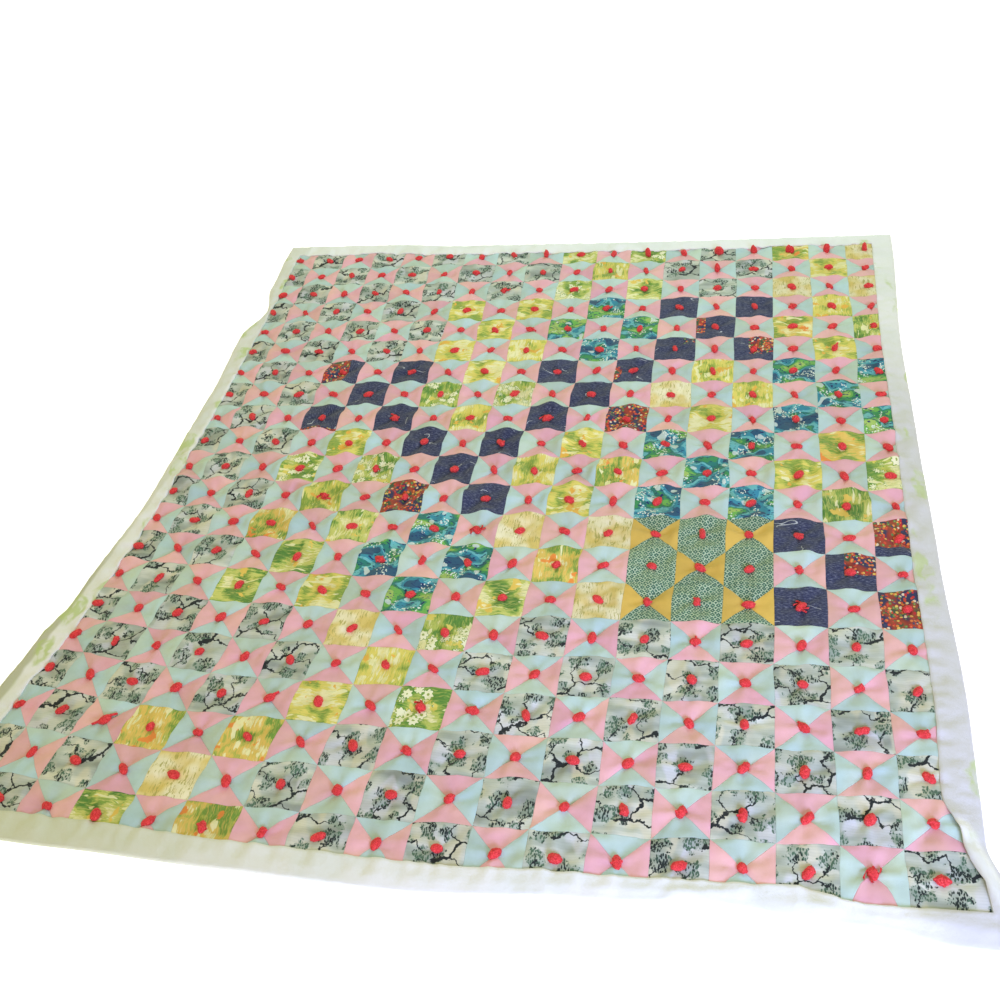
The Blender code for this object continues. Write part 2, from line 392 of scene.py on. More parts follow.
def top_height(across, along, x, y):
    """The tufted top: low at the ties, raised at the middle of each seam, thin at the outer fold."""
    sizes = settings()
    skew = PUFF_SKEW + 0.08 * noise_at(across, along, 14.0, 0.8)
    by_column = np.sin(math.pi * (across - skew * np.sin(math.pi * across) ** 2)) ** 2
    by_row = np.sin(math.pi * along) ** 2
    seam = by_column**SEAM_LENGTH_SHARPNESS * (1.0 - by_row) ** SEAM_WIDTH_SHARPNESS
    seam += by_row**SEAM_LENGTH_SHARPNESS * (1.0 - by_column) ** SEAM_WIDTH_SHARPNESS
    corner = (1.0 - by_column) * (1.0 - by_row)
    puff = np.clip(1.0 + 1.2 * noise_at(across, along, 11.0, 1.1), 0.2, 1.8)
    full = sizes.near_seam_height + (sizes.seam_height - sizes.near_seam_height) * fullness(along)
    height = sizes.tie_height + (full - sizes.tie_height) * seam * puff
    height += (sizes.corner_height - sizes.tie_height) * corner
    height += 0.0016 * by_column * by_row * noise_at(across, along, 17.0, 1.3)
    height -= DIP_DEPTH * np.exp(-((to_tie(across, along) / DIP_REACH) ** 2))
    height += star_creases(across, along)
    height += UNEVEN_HEIGHT * noise_at(x, y, 5.0, UNEVEN_PER_BLOCK)
    crease = 1.0 - np.abs(noise_at(x, y, 3.0, 2.1))
    height += 0.0020 * (crease**5 - 0.35)
    height += 0.0004 * noise_at(x, y, 8.0, 6.0)
    height += fold_rise(x, y)
    slope = np.sqrt(np.clip(to_side(across, along) / RIM_REACH, 0.0, 1.0))
    return sizes.edge_height + (height - sizes.edge_height) * slope


def to_metres(x, y):
    return (x - MIDDLE_ACROSS) * BLOCK, (y - MIDDLE_ALONG) * BLOCK


def formed_top(across, along):
    """Where the tufting puts places of the pieced top, in metres, before the cloth settles."""
    x, y = plan(across, along)
    z = top_height(across, along, x, y)
    x, y = to_metres(x, y)
    return np.stack([x, y, z], axis=1)


# The cloth settles between its ties

SIM_CELLS = 8
SIM_FRAMES = 24
RIPPLE = 0.0012
RIPPLE_PER_BLOCK = 4.0
HELD_AT_TIE = 0.09
HELD_AT_CORNER = 0.08
HELD_AT_SIDE = 0.01
CORNER_HOLD = 0.35
FILLING_HOLD = 0.03
LEAST_SLACK = 0.006
MOST_SLACK = 0.030
NEAR_SLACK_SHARE = 0.75
SLACK_LEVELS = 10
MOST_RISE = 0.0035
MOST_SHIFT = 0.004
LEAST_HEIGHT = 0.004


def settle_top(context):
    """Simulates the top as slack cloth held at its ties: how far each point of a coarse grid moves."""
    moved = np.zeros((ROWS * SIM_CELLS + 1, COLUMNS * SIM_CELLS + 1, 3))
    bm, step_across, step_along = grid_with_places(COLUMNS * SIM_CELLS, ROWS * SIM_CELLS)
    across, along = step_across / SIM_CELLS, step_along / SIM_CELLS
    start = formed_top(across, along)
    start[:, 2] += RIPPLE * noise_at(across, along, 40.0, RIPPLE_PER_BLOCK)
    for vertex, place in zip(bm.verts, start):
        vertex.co = place
    mesh = bpy.data.meshes.new("settling_cloth")
    bm.to_mesh(mesh)
    bm.free()
    cloth = bpy.data.objects.new("settling_cloth", mesh)
    context.scene.collection.objects.link(cloth)
    hold_cloth(cloth, across, along)
    move = run_cloth(context, cloth) - start
    bpy.data.objects.remove(cloth)
    move[:, :2] = np.clip(move[:, :2], -MOST_SHIFT, MOST_SHIFT)
    move[:, 2] = np.clip(move[:, 2], -MOST_RISE, MOST_RISE)
    moved[step_along, step_across] = move
    return moved


def hold_cloth(cloth, across, along):
    """Vertex groups that hold the cloth at ties, corners and rim, and say how slack it is."""
    to_corner = np.hypot((across + 0.5) % 1.0 - 0.5, (along + 0.5) % 1.0 - 0.5)
    hold = np.full(len(across), FILLING_HOLD)
    hold[to_corner < HELD_AT_CORNER] = CORNER_HOLD
    hold[(to_tie(across, along) < HELD_AT_TIE) | (to_side(across, along) < HELD_AT_SIDE)] = 1.0
    near_share = NEAR_SLACK_SHARE * (1.0 - smooth_step((along - FLAT_UP_TO) / (FULL_FROM - FLAT_UP_TO)))
    slack = np.rint(np.maximum(fullness(along), near_share) * SLACK_LEVELS) / SLACK_LEVELS
    for name, weights in (("hold", hold), ("slack", slack)):
        group = cloth.vertex_groups.new(name=name)
        for weight in np.unique(weights):
            group.add([int(index) for index in np.flatnonzero(weights == weight)], float(weight), "REPLACE")


def run_cloth(context, cloth):
    """Steps Blender's cloth simulation and gives where the points end."""
    modifier = cloth.modifiers.new("cloth", "CLOTH")
    cotton = modifier.settings
    cotton.quality = 4
    cotton.mass = 0.15
    cotton.tension_stiffness = cotton.compression_stiffness = 10.0
    cotton.shear_stiffness = 4.0
    cotton.bending_stiffness = 0.02
    cotton.tension_damping = cotton.compression_damping = cotton.shear_damping = 2.0
    cotton.bending_damping = 0.2
    cotton.air_damping = 3.0
    cotton.vertex_group_mass = "hold"
    cotton.pin_stiffness = 1.0
    cotton.vertex_group_shrink = "slack"
    cotton.shrink_min = -LEAST_SLACK
    cotton.shrink_max = -MOST_SLACK
    cotton.use_pressure = True
    cotton.uniform_pressure_force = 0.02
    cotton.effector_weights.gravity = 0.0
    modifier.collision_settings.use_collision = False
    modifier.point_cache.frame_start = 1
    modifier.point_cache.frame_end = SIM_FRAMES
    for frame in range(1, SIM_FRAMES + 1):
        context.scene.frame_set(frame)
    shown = cloth.evaluated_get(context.evaluated_depsgraph_get())
    mesh = shown.to_mesh()
    ends = np.empty(len(mesh.vertices) * 3)
    mesh.vertices.foreach_get("co", ends)
    shown.to_mesh_clear()
    context.scene.frame_set(1)
    return ends.reshape(-1, 3)


def curve_weights(part):
    """The weights of the four points round a place, for a smooth curve through the middle two."""
    square, cube = part**2, part**3
    return (
        -0.5 * part + square - 0.5 * cube,
        1.0 - 2.5 * square + 1.5 * cube,
        0.5 * part + 2.0 * square - 1.5 * cube,
        -0.5 * square + 0.5 * cube,
    )


def read_moved(moved, across, along):
    """How far places between the points of the coarse grid move."""
    left, near = np.floor(across * SIM_CELLS).astype(int), np.floor(along * SIM_CELLS).astype(int)
    by_column = curve_weights(across * SIM_CELLS - left)
    by_row = curve_weights(along * SIM_CELLS - near)
    total = np.zeros((len(across), 3))
    for row_step, row_weight in enumerate(by_row, -1):
        row = np.clip(near + row_step, 0, ROWS * SIM_CELLS)
        for column_step, column_weight in enumerate(by_column, -1):
            column = np.clip(left + column_step, 0, COLUMNS * SIM_CELLS)
            total += (row_weight * column_weight)[:, None] * moved[row, column]
    return total


# The pieced top

SEAM_DEPTH = 0.0010
SEAM_WIDTH = 0.035


def cloth_of(row, column, across, along):
    """The cloth that shows at a place of a block, given as shares of it."""
    family = FAMILIES[(row - 1) // UNIT][(column - 1) // UNIT]
    if (row + column) % 2:
        for cut in CALICO_CUTS:
            if (cut.row, cut.column) == (row, column):
                if cut.left <= across <= cut.right and cut.near <= along <= cut.far:
                    return "calico_flowers"
        for cloth, squares in OTHER_CUTS.items():
            if (row, column) in squares:
                return cloth
        return FAMILY_CLOTH[family]
    beside = abs(across - 0.5) > abs(along - 0.5)
    if family == "L":
        return "gold_plain" if beside else "green_scroll"
    sideways = TURNS[(row - 1) // UNIT][(column - 1) // UNIT] == "H"
    if (row, column) in TURNED_BACK:
        sideways = not sideways
    return "pink_plain" if beside == sideways else "aqua_plain"


def seam_depth(across, along):
    """How deep the seams pull the cloth at each crossing: block seams, and the diagonals of hourglasses."""
    column = np.clip(np.floor(across), 0, COLUMNS - 1)
    row = np.clip(np.floor(along), 0, ROWS - 1)
    in_x, in_y = across - column, along - row
    to_seam = np.minimum.reduce([in_x, 1.0 - in_x, in_y, 1.0 - in_y])
    depth = np.exp(-((to_seam / SEAM_WIDTH) ** 2))
    to_diagonal = np.minimum(np.abs(in_x - in_y), np.abs(in_x + in_y - 1.0)) / math.sqrt(2.0)
    hourglass = (ROWS - row + column + 1) % 2 == 0
    return np.maximum(depth, np.where(hourglass, 0.7 * np.exp(-((to_diagonal / SEAM_WIDTH) ** 2)), 0.0))


def grid_with_places(steps_across, steps_along):
    """A bmesh grid, and each vertex's step across and along it."""
    bm = bmesh.new()
    bmesh.ops.create_grid(bm, x_segments=steps_across, y_segments=steps_along, size=0.5)
    bm.verts.ensure_lookup_table()
    flat = np.array([vertex.co[:2] for vertex in bm.verts])
    across = np.rint((flat[:, 0] + 0.5) * steps_across).astype(int)
    along = np.rint((flat[:, 1] + 0.5) * steps_along).astype(int)
    return bm, across, along


def split_diagonals(bm, across, along, cells):
    """Cuts the cells on an hourglass block's diagonals, so that its triangles meet on a straight line."""
    bm.faces.ensure_lookup_table()
    for face in list(bm.faces):
        steps = [(across[v.index], along[v.index]) for v in face.verts]
        left, near = min(steps)[0], min(step[1] for step in steps)
        column, row = left // cells + 1, ROWS - near // cells
        if (row + column) % 2:
            continue
        in_x, in_y = left % cells, near % cells
        if in_x == in_y:
            ends = ((left, near), (left + 1, near + 1))
        elif in_x + in_y == cells - 1:
            ends = ((left + 1, near), (left, near + 1))
        else:
            continue
        first, second = (face.verts[steps.index(end)] for end in ends)
        bmesh.utils.face_split(face, first, second)


def make_top(context):
    """The pieced top as one bmesh, its places in the blocks, and where they lie before they settle."""
    cells = settings().cells
    bm, step_across, step_along = grid_with_places(COLUMNS * cells, ROWS * cells)
    across, along = step_across / cells, step_along / cells
    formed = formed_top(across, along)
    places = formed + read_moved(settle_top(context), across, along)
    places[:, 2] -= SEAM_DEPTH * seam_depth(across, along)
    places[:, 2] = np.maximum(places[:, 2], LEAST_HEIGHT)
    for vertex, place in zip(bm.verts, places):
        vertex.co = place
    bm.verts.index_update()
    split_diagonals(bm, step_across, step_along, cells)
    return bm, across, along, formed


TURNED_CLOTHS = (
    "meadow_yellow", "meadow_orange", "meadow_green", "daisy_green", "calico_flowers", "green_scroll",
)


def patch_of(row, column, side, cloth, whole):
    """Where a patch was cut from its cloth, whether it was turned, and its tones."""
    draw = random.Random(int(row * 1000 + (column + 1) * 10 + side))
    shift_x, shift_y = draw.uniform(0.0, 6.0), draw.uniform(0.0, 6.0)
    sideways = cloth in TURNED_CLOTHS and draw.random() < 0.5
    return shift_x, shift_y, sideways, (draw.random(), draw.random(), draw.random(), float(not whole))


CLOTHS = (
    "pink_plain", "aqua_plain", "gold_plain", "grey_branches", "meadow_yellow", "meadow_orange",
    "meadow_green", "cream_leaves", "daisy_green", "navy_weave", "calico_flowers", "teal_hills", "green_scroll",
)


def name_faces(bm, across, along, formed):
    """Gives each face its cloth, and its places on the cloth and in the block; sums the areas."""
    on_cloth = bm.loops.layers.uv.new("cloth")
    in_block = bm.loops.layers.uv.new("block")
    patch = bm.loops.layers.float_color.new("patch")
    areas = [0.0] * len(CLOTHS)
    patches = {}
    for face in bm.faces:
        indices = [v.index for v in face.verts]
        mid_across = sum(across[i] for i in indices) / len(indices)
        mid_along = sum(along[i] for i in indices) / len(indices)
        column, near = int(mid_across), int(mid_along)
        row = ROWS - near
        cloth = cloth_of(row, column + 1, mid_across - column, mid_along - near)
        face.material_index = CLOTHS.index(cloth)
        areas[face.material_index] += face.calc_area()
        beside = abs(mid_across - column - 0.5) > abs(mid_along - near - 0.5)
        whole = bool((row + column + 1) % 2)
        side = 0 if whole else (1 if beside else 2) + 2 * (mid_across + mid_along > column + near + 1)
        if (row, column, side) not in patches:
            patches[row, column, side] = patch_of(row, column, side, cloth, whole)
        shift_x, shift_y, sideways, tones = patches[row, column, side]
        for loop in face.loops:
            in_x = across[loop.vert.index] - column
            in_y = along[loop.vert.index] - near
            loop[in_block].uv = (in_x, in_y)
            x, y, _ = formed[loop.vert.index]
            first, second = (y, x) if sideways else (x, y)
            loop[on_cloth].uv = (first + shift_x, second + shift_y)
            loop[patch] = tones
    return areas


def add_piece(name, bm, *materials):
    """Makes a finished bmesh an object on the root body."""
    for face in bm.faces:
        face.smooth = True
    mesh = bpy.data.meshes.new(name)
    bm.to_mesh(mesh)
    bm.free()
    for material in materials:
        mesh.materials.append(material)
    made = bpy.data.objects.new(name, mesh)
    bpy.context.scene.collection.objects.link(made)
    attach(made, "root")
    return made


# Node building


class Field:
    """What a socket gives over the surface. Plain arithmetic on it adds the nodes that work it out."""

    def __init__(self, tree, socket):
        self.tree = tree
        self.socket = socket

    def work(self, operation, *values):
        """Adds a Math node to a number, and a Vector Math node to a place or a colour."""
        if self.socket.type == "VALUE":
            return self.tree.math(operation, *values)
        return self.tree.vector(operation, *values)

    def __add__(self, other):
        return self.work("ADD", self, other)

    def __sub__(self, other):
        return self.work("SUBTRACT", self, other)

    def __rsub__(self, other):
        return self.work("SUBTRACT", other, self)

    def __mul__(self, other):
        if self.socket.type != "VALUE" and not isinstance(other, tuple):
            return self.tree.vector("SCALE", self, scale=other)
        return self.work("MULTIPLY", self, other)

    def __truediv__(self, other):
        return self.work("DIVIDE", self, other)

    def __rtruediv__(self, other):
        return self.work("DIVIDE", other, self)

    def __lt__(self, other):
        return self.work("LESS_THAN", self, other)

    def __gt__(self, other):
        return self.work("GREATER_THAN", self, other)

    def __abs__(self):
        return self.work("ABSOLUTE", self)


def least(first, second):
    return first.work("MINIMUM", first, second)


def most(first, second):
    return first.work("MAXIMUM", first, second)


class Tree:
    """A node tree with short calls for the nodes that the cloths use."""

    def __init__(self, tree):
        self.tree = tree

    def feed(self, socket, value):
        if isinstance(value, Field):
            self.tree.links.new(value.socket, socket)
        elif value is not None:
            socket.default_value = value

    def add(self, kind, inputs=(), **values):
        """Places a node, sets its values, feeds its inputs and gives its outputs by name and by number."""
        made = self.tree.nodes.new(kind)
        for name, value in values.items():
            setattr(made, name, value)
        for key, value in dict(inputs).items():
            self.feed(made.inputs[key], value)
        outputs = {socket.name: Field(self, socket) for socket in made.outputs}
        outputs.update(enumerate(Field(self, socket) for socket in made.outputs))
        return outputs

    def math(self, operation, *values, clamp=False):
        return self.add("ShaderNodeMath", enumerate(values), operation=operation, use_clamp=clamp)[0]

    def vector(self, operation, *values, scale=None):
        inputs = dict(enumerate(values))
        if scale is not None:
            inputs["Scale"] = scale
        made = self.add("ShaderNodeVectorMath", inputs, operation=operation)
        return made["Value" if operation in ("LENGTH", "DISTANCE", "DOT_PRODUCT") else "Vector"]

    def split(self, place):
        made = self.add("ShaderNodeSeparateXYZ", {0: place})
        return made[0], made[1], made[2]

    def mix(self, factor, first, second):
        return self.add("ShaderNodeMix", {"Factor": factor, 6: first, 7: second}, data_type="RGBA")[2]

    def noise(self, place, scale, detail=2.0, roughness=0.5, distortion=0.0, output="Fac"):
        inputs = {"Vector": place, "Scale": scale, "Detail": detail, "Roughness": roughness}
        return self.add("ShaderNodeTexNoise", {**inputs, "Distortion": distortion})[output]

    def bend(self, place, scale, detail, size):
        """A place on the cloth, swayed to and fro by noise."""
        return place + self.noise(place, scale, detail, output="Color") * size

    def cells(self, place, scale, randomness=1.0):
        return self.add("ShaderNodeTexVoronoi", {"Vector": place, "Scale": scale, "Randomness": randomness})

    def wave(self, value, length):
        return self.math("SINE", value * (2.0 * math.pi / length))

    def step(self, value, low, high, to_low=0.0, to_high=1.0):
        """Eases from one number to another between two limits."""
        inputs = enumerate((value, low, high, to_low, to_high))
        return self.add("ShaderNodeMapRange", inputs, interpolation_type="SMOOTHSTEP")[0]

    def stretch(self, place, x, y, turn=0.0):
        inputs = {"Vector": place, "Scale": (x, y, 1.0), "Rotation": (0.0, 0.0, turn)}
        return self.add("ShaderNodeMapping", inputs)[0]

    def ramp(self, factor, *stops, interpolation="LINEAR"):
        made = self.tree.nodes.new("ShaderNodeValToRGB")
        made.color_ramp.interpolation = interpolation
        elements = made.color_ramp.elements
        for index, (place, colour) in enumerate(stops):
            element = elements[index] if index < len(elements) else elements.new(place)
            element.position = place
            element.color = colour
        self.feed(made.inputs[0], factor)
        return Field(self, made.outputs[0])

    def group(self, name, **values):
        """Places a shared group with its values. The group is built at its first use."""
        fill, inputs, outputs = GROUPS[name]
        made = bpy.data.node_groups.get(name)
        if made is None:
            made = bpy.data.node_groups.new(name, "ShaderNodeTree")
            for way, sockets in (("INPUT", inputs), ("OUTPUT", outputs)):
                for label, kind in sockets.items():
                    made.interface.new_socket(label, in_out=way, socket_type=kind)
            inside = Tree(made)
            inside.add("NodeGroupOutput", fill(inside, inside.add("NodeGroupInput")))
        return self.add("ShaderNodeGroup", values, node_tree=made)


def shade(red, green, blue):
    """A colour as it looks on a screen, from 0 to 255, as the linear values that a shader takes."""
    parts = (red / 255.0, green / 255.0, blue / 255.0)
    return rgba(part / 12.92 if part <= 0.04045 else ((part + 0.055) / 1.055) ** 2.4 for part in parts)


def rgba(colour):
    return (*colour, 1.0)


# Groups that the prints share


def fill_cotton(tree, given):
    """Plain-woven cotton: thread relief, slubs, patch tone, painted light on its soft swells, and the painted
    shadow and pucker of the seams.
    """
    x, y, _ = tree.split(given["Cloth"])
    thread = tree.wave(x, 0.0007) * tree.wave(y, 0.0008)
    slub = tree.noise(tree.stretch(given["Cloth"], 1.0, 9.0), 90.0, 3.0)
    # Soft swells of the bump, with uneven tone; the tone is lighter where they rise, partly as painted light on
    # their crests
    swell_and_shade = tree.noise(given["Cloth"], 26.0, 3.0, 0.6)
    in_x, in_y, _ = tree.split(given["Block"])
    to_seam = least(least(in_x, 1.0 - in_x), least(in_y, 1.0 - in_y))
    diagonal = least(abs(in_x - in_y), abs(in_x + in_y - 1.0)) * 0.707
    to_seam = least(to_seam, diagonal + (1.0 - given["Diagonals"]))
    seam = tree.step(to_seam, 0.0, 0.035, 1.0, 0.0)
    # A narrow crease along the seams and hourglass diagonals, which also darkens the tone there as painted
    # shade
    crease = tree.step(to_seam, 0.0, 0.012, 1.0, 0.0)
    pucker = seam * tree.noise(given["Cloth"], 190.0, 1.0)
    tone = given["Tone"] * 0.16 + 0.90
    tone = tone + (slub - 0.5) * 0.05 + (swell_and_shade - 0.5) * 0.28 - crease * 0.07
    return {
        "Colour": given["Colour"] * tone,
        "Roughness": slub * 0.12 + 0.80,
        "Height": thread * 0.03 + swell_and_shade * 0.9 + pucker * 0.8 - crease * 0.8,
    }


def fill_stroke(tree, given):
    """How far a place lies from a straight stroke between two ends."""
    run = given["End"] - given["Start"]
    reach = given["Place"] - given["Start"]
    along, whole = tree.vector("DOT_PRODUCT", reach, run), tree.vector("DOT_PRODUCT", run, run)
    off = reach - run * tree.math("DIVIDE", along, whole, clamp=True)
    return {"Distance": tree.vector("LENGTH", off) - given["Width"]}


Stroke = namedtuple("Stroke", "start end width")
Spray = namedtuple("Spray", "place reach")

# A winding branch with sprays of leaves, charted in a repeat of one by one
TWIGS = (
    Stroke((0.02, 0.12), (0.20, 0.20), 0.017), Stroke((0.20, 0.20), (0.29, 0.38), 0.016),
    Stroke((0.29, 0.38), (0.46, 0.43), 0.014), Stroke((0.46, 0.43), (0.56, 0.60), 0.012),
    Stroke((0.56, 0.60), (0.76, 0.63), 0.011), Stroke((0.76, 0.63), (0.88, 0.82), 0.008),
    Stroke((0.29, 0.38), (0.17, 0.52), 0.009), Stroke((0.17, 0.52), (0.25, 0.69), 0.007),
    Stroke((0.46, 0.43), (0.62, 0.31), 0.010), Stroke((0.62, 0.31), (0.79, 0.35), 0.008),
    Stroke((0.79, 0.35), (0.90, 0.22), 0.006), Stroke((0.56, 0.60), (0.47, 0.76), 0.008),
    Stroke((0.47, 0.76), (0.57, 0.92), 0.006), Stroke((0.20, 0.20), (0.38, 0.10), 0.008),
    Stroke((0.38, 0.10), (0.55, 0.13), 0.006), Stroke((0.76, 0.63), (0.93, 0.53), 0.006),
)
SPRAYS = (
    Spray((0.23, 0.74), 0.13), Spray((0.10, 0.50), 0.08), Spray((0.90, 0.20), 0.12),
    Spray((0.56, 0.94), 0.13), Spray((0.92, 0.50), 0.10), Spray((0.56, 0.12), 0.10),
    Spray((0.88, 0.86), 0.12), Spray((0.40, 0.52), 0.07), Spray((0.06, 0.20), 0.09), Spray((0.66, 0.40), 0.07),
)
BRANCH_WIDEN = 1.35
TWIG_REPEAT = 0.155


def fill_twigs(tree, given):
    """A repeat of winding branches and sprays of brushed leaves, as three masks."""
    cloth = given["Cloth"]
    bend = (tree.noise(cloth, 42.0, 3.0, 0.62, output="Color") - (0.5, 0.5, 0.5)) * 0.036
    place = (cloth * (1.0, 1.0, 0.0) + bend) * (1.0 / given["Repeat"])
    place = tree.vector("FRACTION", place) * (1.0, 1.0, 0.0)
    strokes = []
    for start, end, width in TWIGS:
        ends = {"Start": (*start, 0.0), "End": (*end, 0.0)}
        stroke = tree.group("stroke_distance", Place=place, Width=BRANCH_WIDEN * width, **ends)
        strokes.append(stroke["Distance"])
    shares = [1.0 - tree.vector("DISTANCE", place, (*middle, 0.0)) / reach for middle, reach in SPRAYS]
    ragged = tree.noise(cloth, 75.0, 2.0, 0.6)
    cover = tree.step(reduce(most, shares) + (ragged - 0.5) * 2.2, -0.05, 0.12)
    dab = tree.cells(tree.stretch(cloth, 1.0, 0.50, 0.7), 330.0)["Distance"]
    return {
        "Branch": tree.step(reduce(least, strokes), -0.004, 0.004, 1.0, 0.0),
        "Leaf": cover * tree.step(dab, 0.46, 0.58, 1.0, 0.0),
        "Spray": cover,
    }


FLOAT, COLOUR, VECTOR = "NodeSocketFloat", "NodeSocketColor", "NodeSocketVector"
GROUPS = {
    "cotton": (
        fill_cotton,
        {"Colour": COLOUR, "Cloth": VECTOR, "Block": VECTOR, "Tone": FLOAT, "Diagonals": FLOAT},
        {"Colour": COLOUR, "Roughness": FLOAT, "Height": FLOAT},
    ),
    "stroke_distance": (
        fill_stroke,
        {"Place": VECTOR, "Start": VECTOR, "End": VECTOR, "Width": FLOAT},
        {"Distance": FLOAT},
    ),
    "twigs": (
        fill_twigs,
        {"Cloth": VECTOR, "Repeat": FLOAT},
        {"Branch": FLOAT, "Leaf": FLOAT, "Spray": FLOAT},
    ),
}


# The prints: each takes a tree, the place on the cloth and the patch's random numbers, and gives a colour


def plain(tree, cloth, draw, first, second):
    """A plain dyed cotton that drifts between two close colours."""
    drift = draw[1] * 0.5 + tree.step(tree.noise(cloth, 11.0, 1.0), 0.35, 0.65, 0.0, 0.5)
    return tree.mix(drift, first, second)


def print_grey(tree, cloth, draw):
    """Cloudy grey-green ground with charcoal branches and brushed sprays of leaves."""
    ground = tree.ramp(
        tree.noise(tree.stretch(cloth, 0.30, 1.0), 27.0, 2.0, 0.5),
        (0.32, shade(146, 153, 147)),
        (0.43, shade(168, 177, 168)),
        (0.53, shade(188, 195, 186)),
        (0.62, shade(208, 211, 202)),
    )
    warm = tree.noise(tree.stretch(cloth, 1.0, 0.5), 19.0, 1.0)
    ground = tree.mix(tree.step(warm, 0.56, 0.66, 0.0, 0.55), ground, shade(222, 215, 192))
    ground = tree.mix(tree.step(warm, 0.43, 0.35, 0.0, 0.55), ground, shade(212, 212, 226))
    streak = tree.wave(tree.split(cloth)[1], 0.0052)
    ground = tree.mix(tree.step(streak, 0.2, 1.0, 0.0, 0.10), ground, shade(122, 136, 128))
    twigs = tree.group("twigs", Cloth=cloth, Repeat=TWIG_REPEAT)
    pick = tree.split(tree.cells(cloth, 60.0)["Color"])[0]
    leaf_colour = tree.mix(tree.step(pick, 0.35, 0.55), shade(38, 48, 47), shade(80, 108, 90))
    colour = tree.mix(twigs["Spray"] * 0.50, ground, shade(120, 142, 128))
    colour = tree.mix(twigs["Leaf"], colour, leaf_colour)
    return tree.mix(twigs["Branch"], colour, shade(34, 40, 42))


def meadow(tree, cloth, draw, deep, middle, light, blossom):
    """Loose brushed grass in three colours, with blossom in some places and bare cream ground in others."""
    bent = tree.bend(cloth, 22.0, 2.0, 0.012)
    area = (tree.noise(bent, 19.0, 2.0) - 0.5) * 1.6 + (draw[1] * 0.14 + 0.43)
    blades = tree.noise(tree.stretch(bent, 1.0, 0.11), 210.0, 3.0, 0.6)
    tones = (0.36, deep), (0.42, deep), (0.44, middle), (0.48, middle), (0.50, light), (0.575, light)
    colour = tree.ramp(area * 0.60 + blades * 0.40, *tones, (0.61, shade(236, 230, 180)))
    strokes = tree.noise(tree.stretch(bent, 1.0, 0.09), 380.0, 2.0)
    colour = tree.mix(tree.step(strokes, 0.54, 0.60, 0.0, 0.55), colour, light)
    colour = tree.mix(tree.step(strokes, 0.46, 0.40, 0.0, 0.40), colour, middle)
    colour = tree.mix(tree.step(tree.noise(bent, 24.0, 3.0, 0.6), 0.60, 0.63), colour, blossom)
    bare = tree.noise(tree.stretch(bent, 1.0, 0.3), 70.0, 2.0) - draw[2] * 0.05
    return tree.mix(tree.step(bare, 0.60, 0.63, 0.0, 0.85), colour, shade(238, 234, 184))


def print_cream(tree, cloth, draw):
    """Cream and yellow ground with thin olive reeds brushed side by side."""
    reeds = tree.noise(tree.stretch(tree.bend(cloth, 60.0, 2.0, 0.008), 1.0, 0.14), 330.0, 2.0, 0.6)
    where = tree.step(tree.noise(cloth, 30.0, 1.0), 0.40, 0.54, 0.2, 0.85)
    tones = (0.42, shade(234, 226, 192)), (0.52, shade(226, 210, 152)), (0.62, shade(214, 192, 112))
    ground = tree.ramp(tree.noise(cloth, 17.0, 2.0), *tones)
    return tree.mix(tree.step(reeds, 0.54, 0.61) * where, ground, shade(168, 162, 84))


DAISIES_PER_METRE = 40.0
DAISY_PETALS = 7.0


def print_daisy(tree, cloth, draw):
    """Bright green with clumps of cream daisies."""
    greens = shade(88, 136, 58), shade(124, 160, 66), shade(184, 194, 98), shade(220, 204, 100)
    ground = meadow(tree, cloth, draw, *greens)
    cloth = tree.bend(cloth, 130.0, 2.0, 0.006)
    flower = tree.cells(cloth, DAISIES_PER_METRE, randomness=0.75)
    x, y, _ = tree.split((cloth - flower["Position"]) * DAISIES_PER_METRE)
    petals = tree.math("COSINE", tree.math("ARCTAN2", y, x) * DAISY_PETALS)
    clump = tree.step(tree.noise(cloth, 12.0, 0.0), 0.44, 0.47)
    edge = flower["Distance"] - (petals * 0.07 + 0.40)
    colour = tree.mix(tree.step(edge, 0.03, 0.07, 1.0, 0.0) * clump, ground, shade(92, 138, 52))
    colour = tree.mix((edge < 0.0) * clump, colour, shade(236, 236, 200))
    return tree.mix((flower["Distance"] < 0.12) * clump, colour, shade(150, 166, 84))


def print_navy(tree, cloth, draw):
    """Slate navy with a fine slubby grain and one or two pale wavering threads."""
    grain = tree.noise(tree.stretch(cloth, 0.3, 1.0), 420.0, 2.0, 0.7)
    tones = (0.34, shade(36, 40, 68)), (0.52, shade(57, 63, 95)), (0.66, shade(104, 108, 132))
    level = tree.noise(tree.stretch(cloth, 0.55, 1.0), 17.0, 1.0, 0.4)
    line = abs(level - 0.47) < 0.0045
    where = tree.noise(cloth, 24.0, 0.0) > 0.58
    return tree.mix(line * where, tree.ramp(grain, *tones), shade(178, 182, 196))


def print_calico(tree, cloth, draw):
    """Small close flowers in red, orange, yellow and green on a dark ground."""
    cell = tree.cells(cloth, 150.0)
    petals = tree.ramp(
        tree.split(cell["Color"])[0],
        (0.0, shade(204, 74, 48)),
        (0.26, shade(222, 126, 62)),
        (0.42, shade(190, 48, 48)),
        (0.54, shade(222, 188, 92)),
        (0.64, shade(96, 130, 72)),
        (0.78, shade(222, 204, 176)),
        (0.88, shade(60, 66, 100)),
        interpolation="CONSTANT",
    )
    ground = tree.ramp(
        tree.noise(cloth, 24.0, 1.0),
        (0.44, shade(52, 54, 84)),
        (0.50, shade(138, 52, 46)),
        (0.58, shade(160, 72, 44)),
        (0.64, shade(62, 86, 58)),
    )
    colour = tree.mix(tree.step(cell["Distance"], 0.42, 0.52, 1.0, 0.0), ground, petals)
    return tree.mix(cell["Distance"] < 0.12, colour, shade(226, 190, 96))


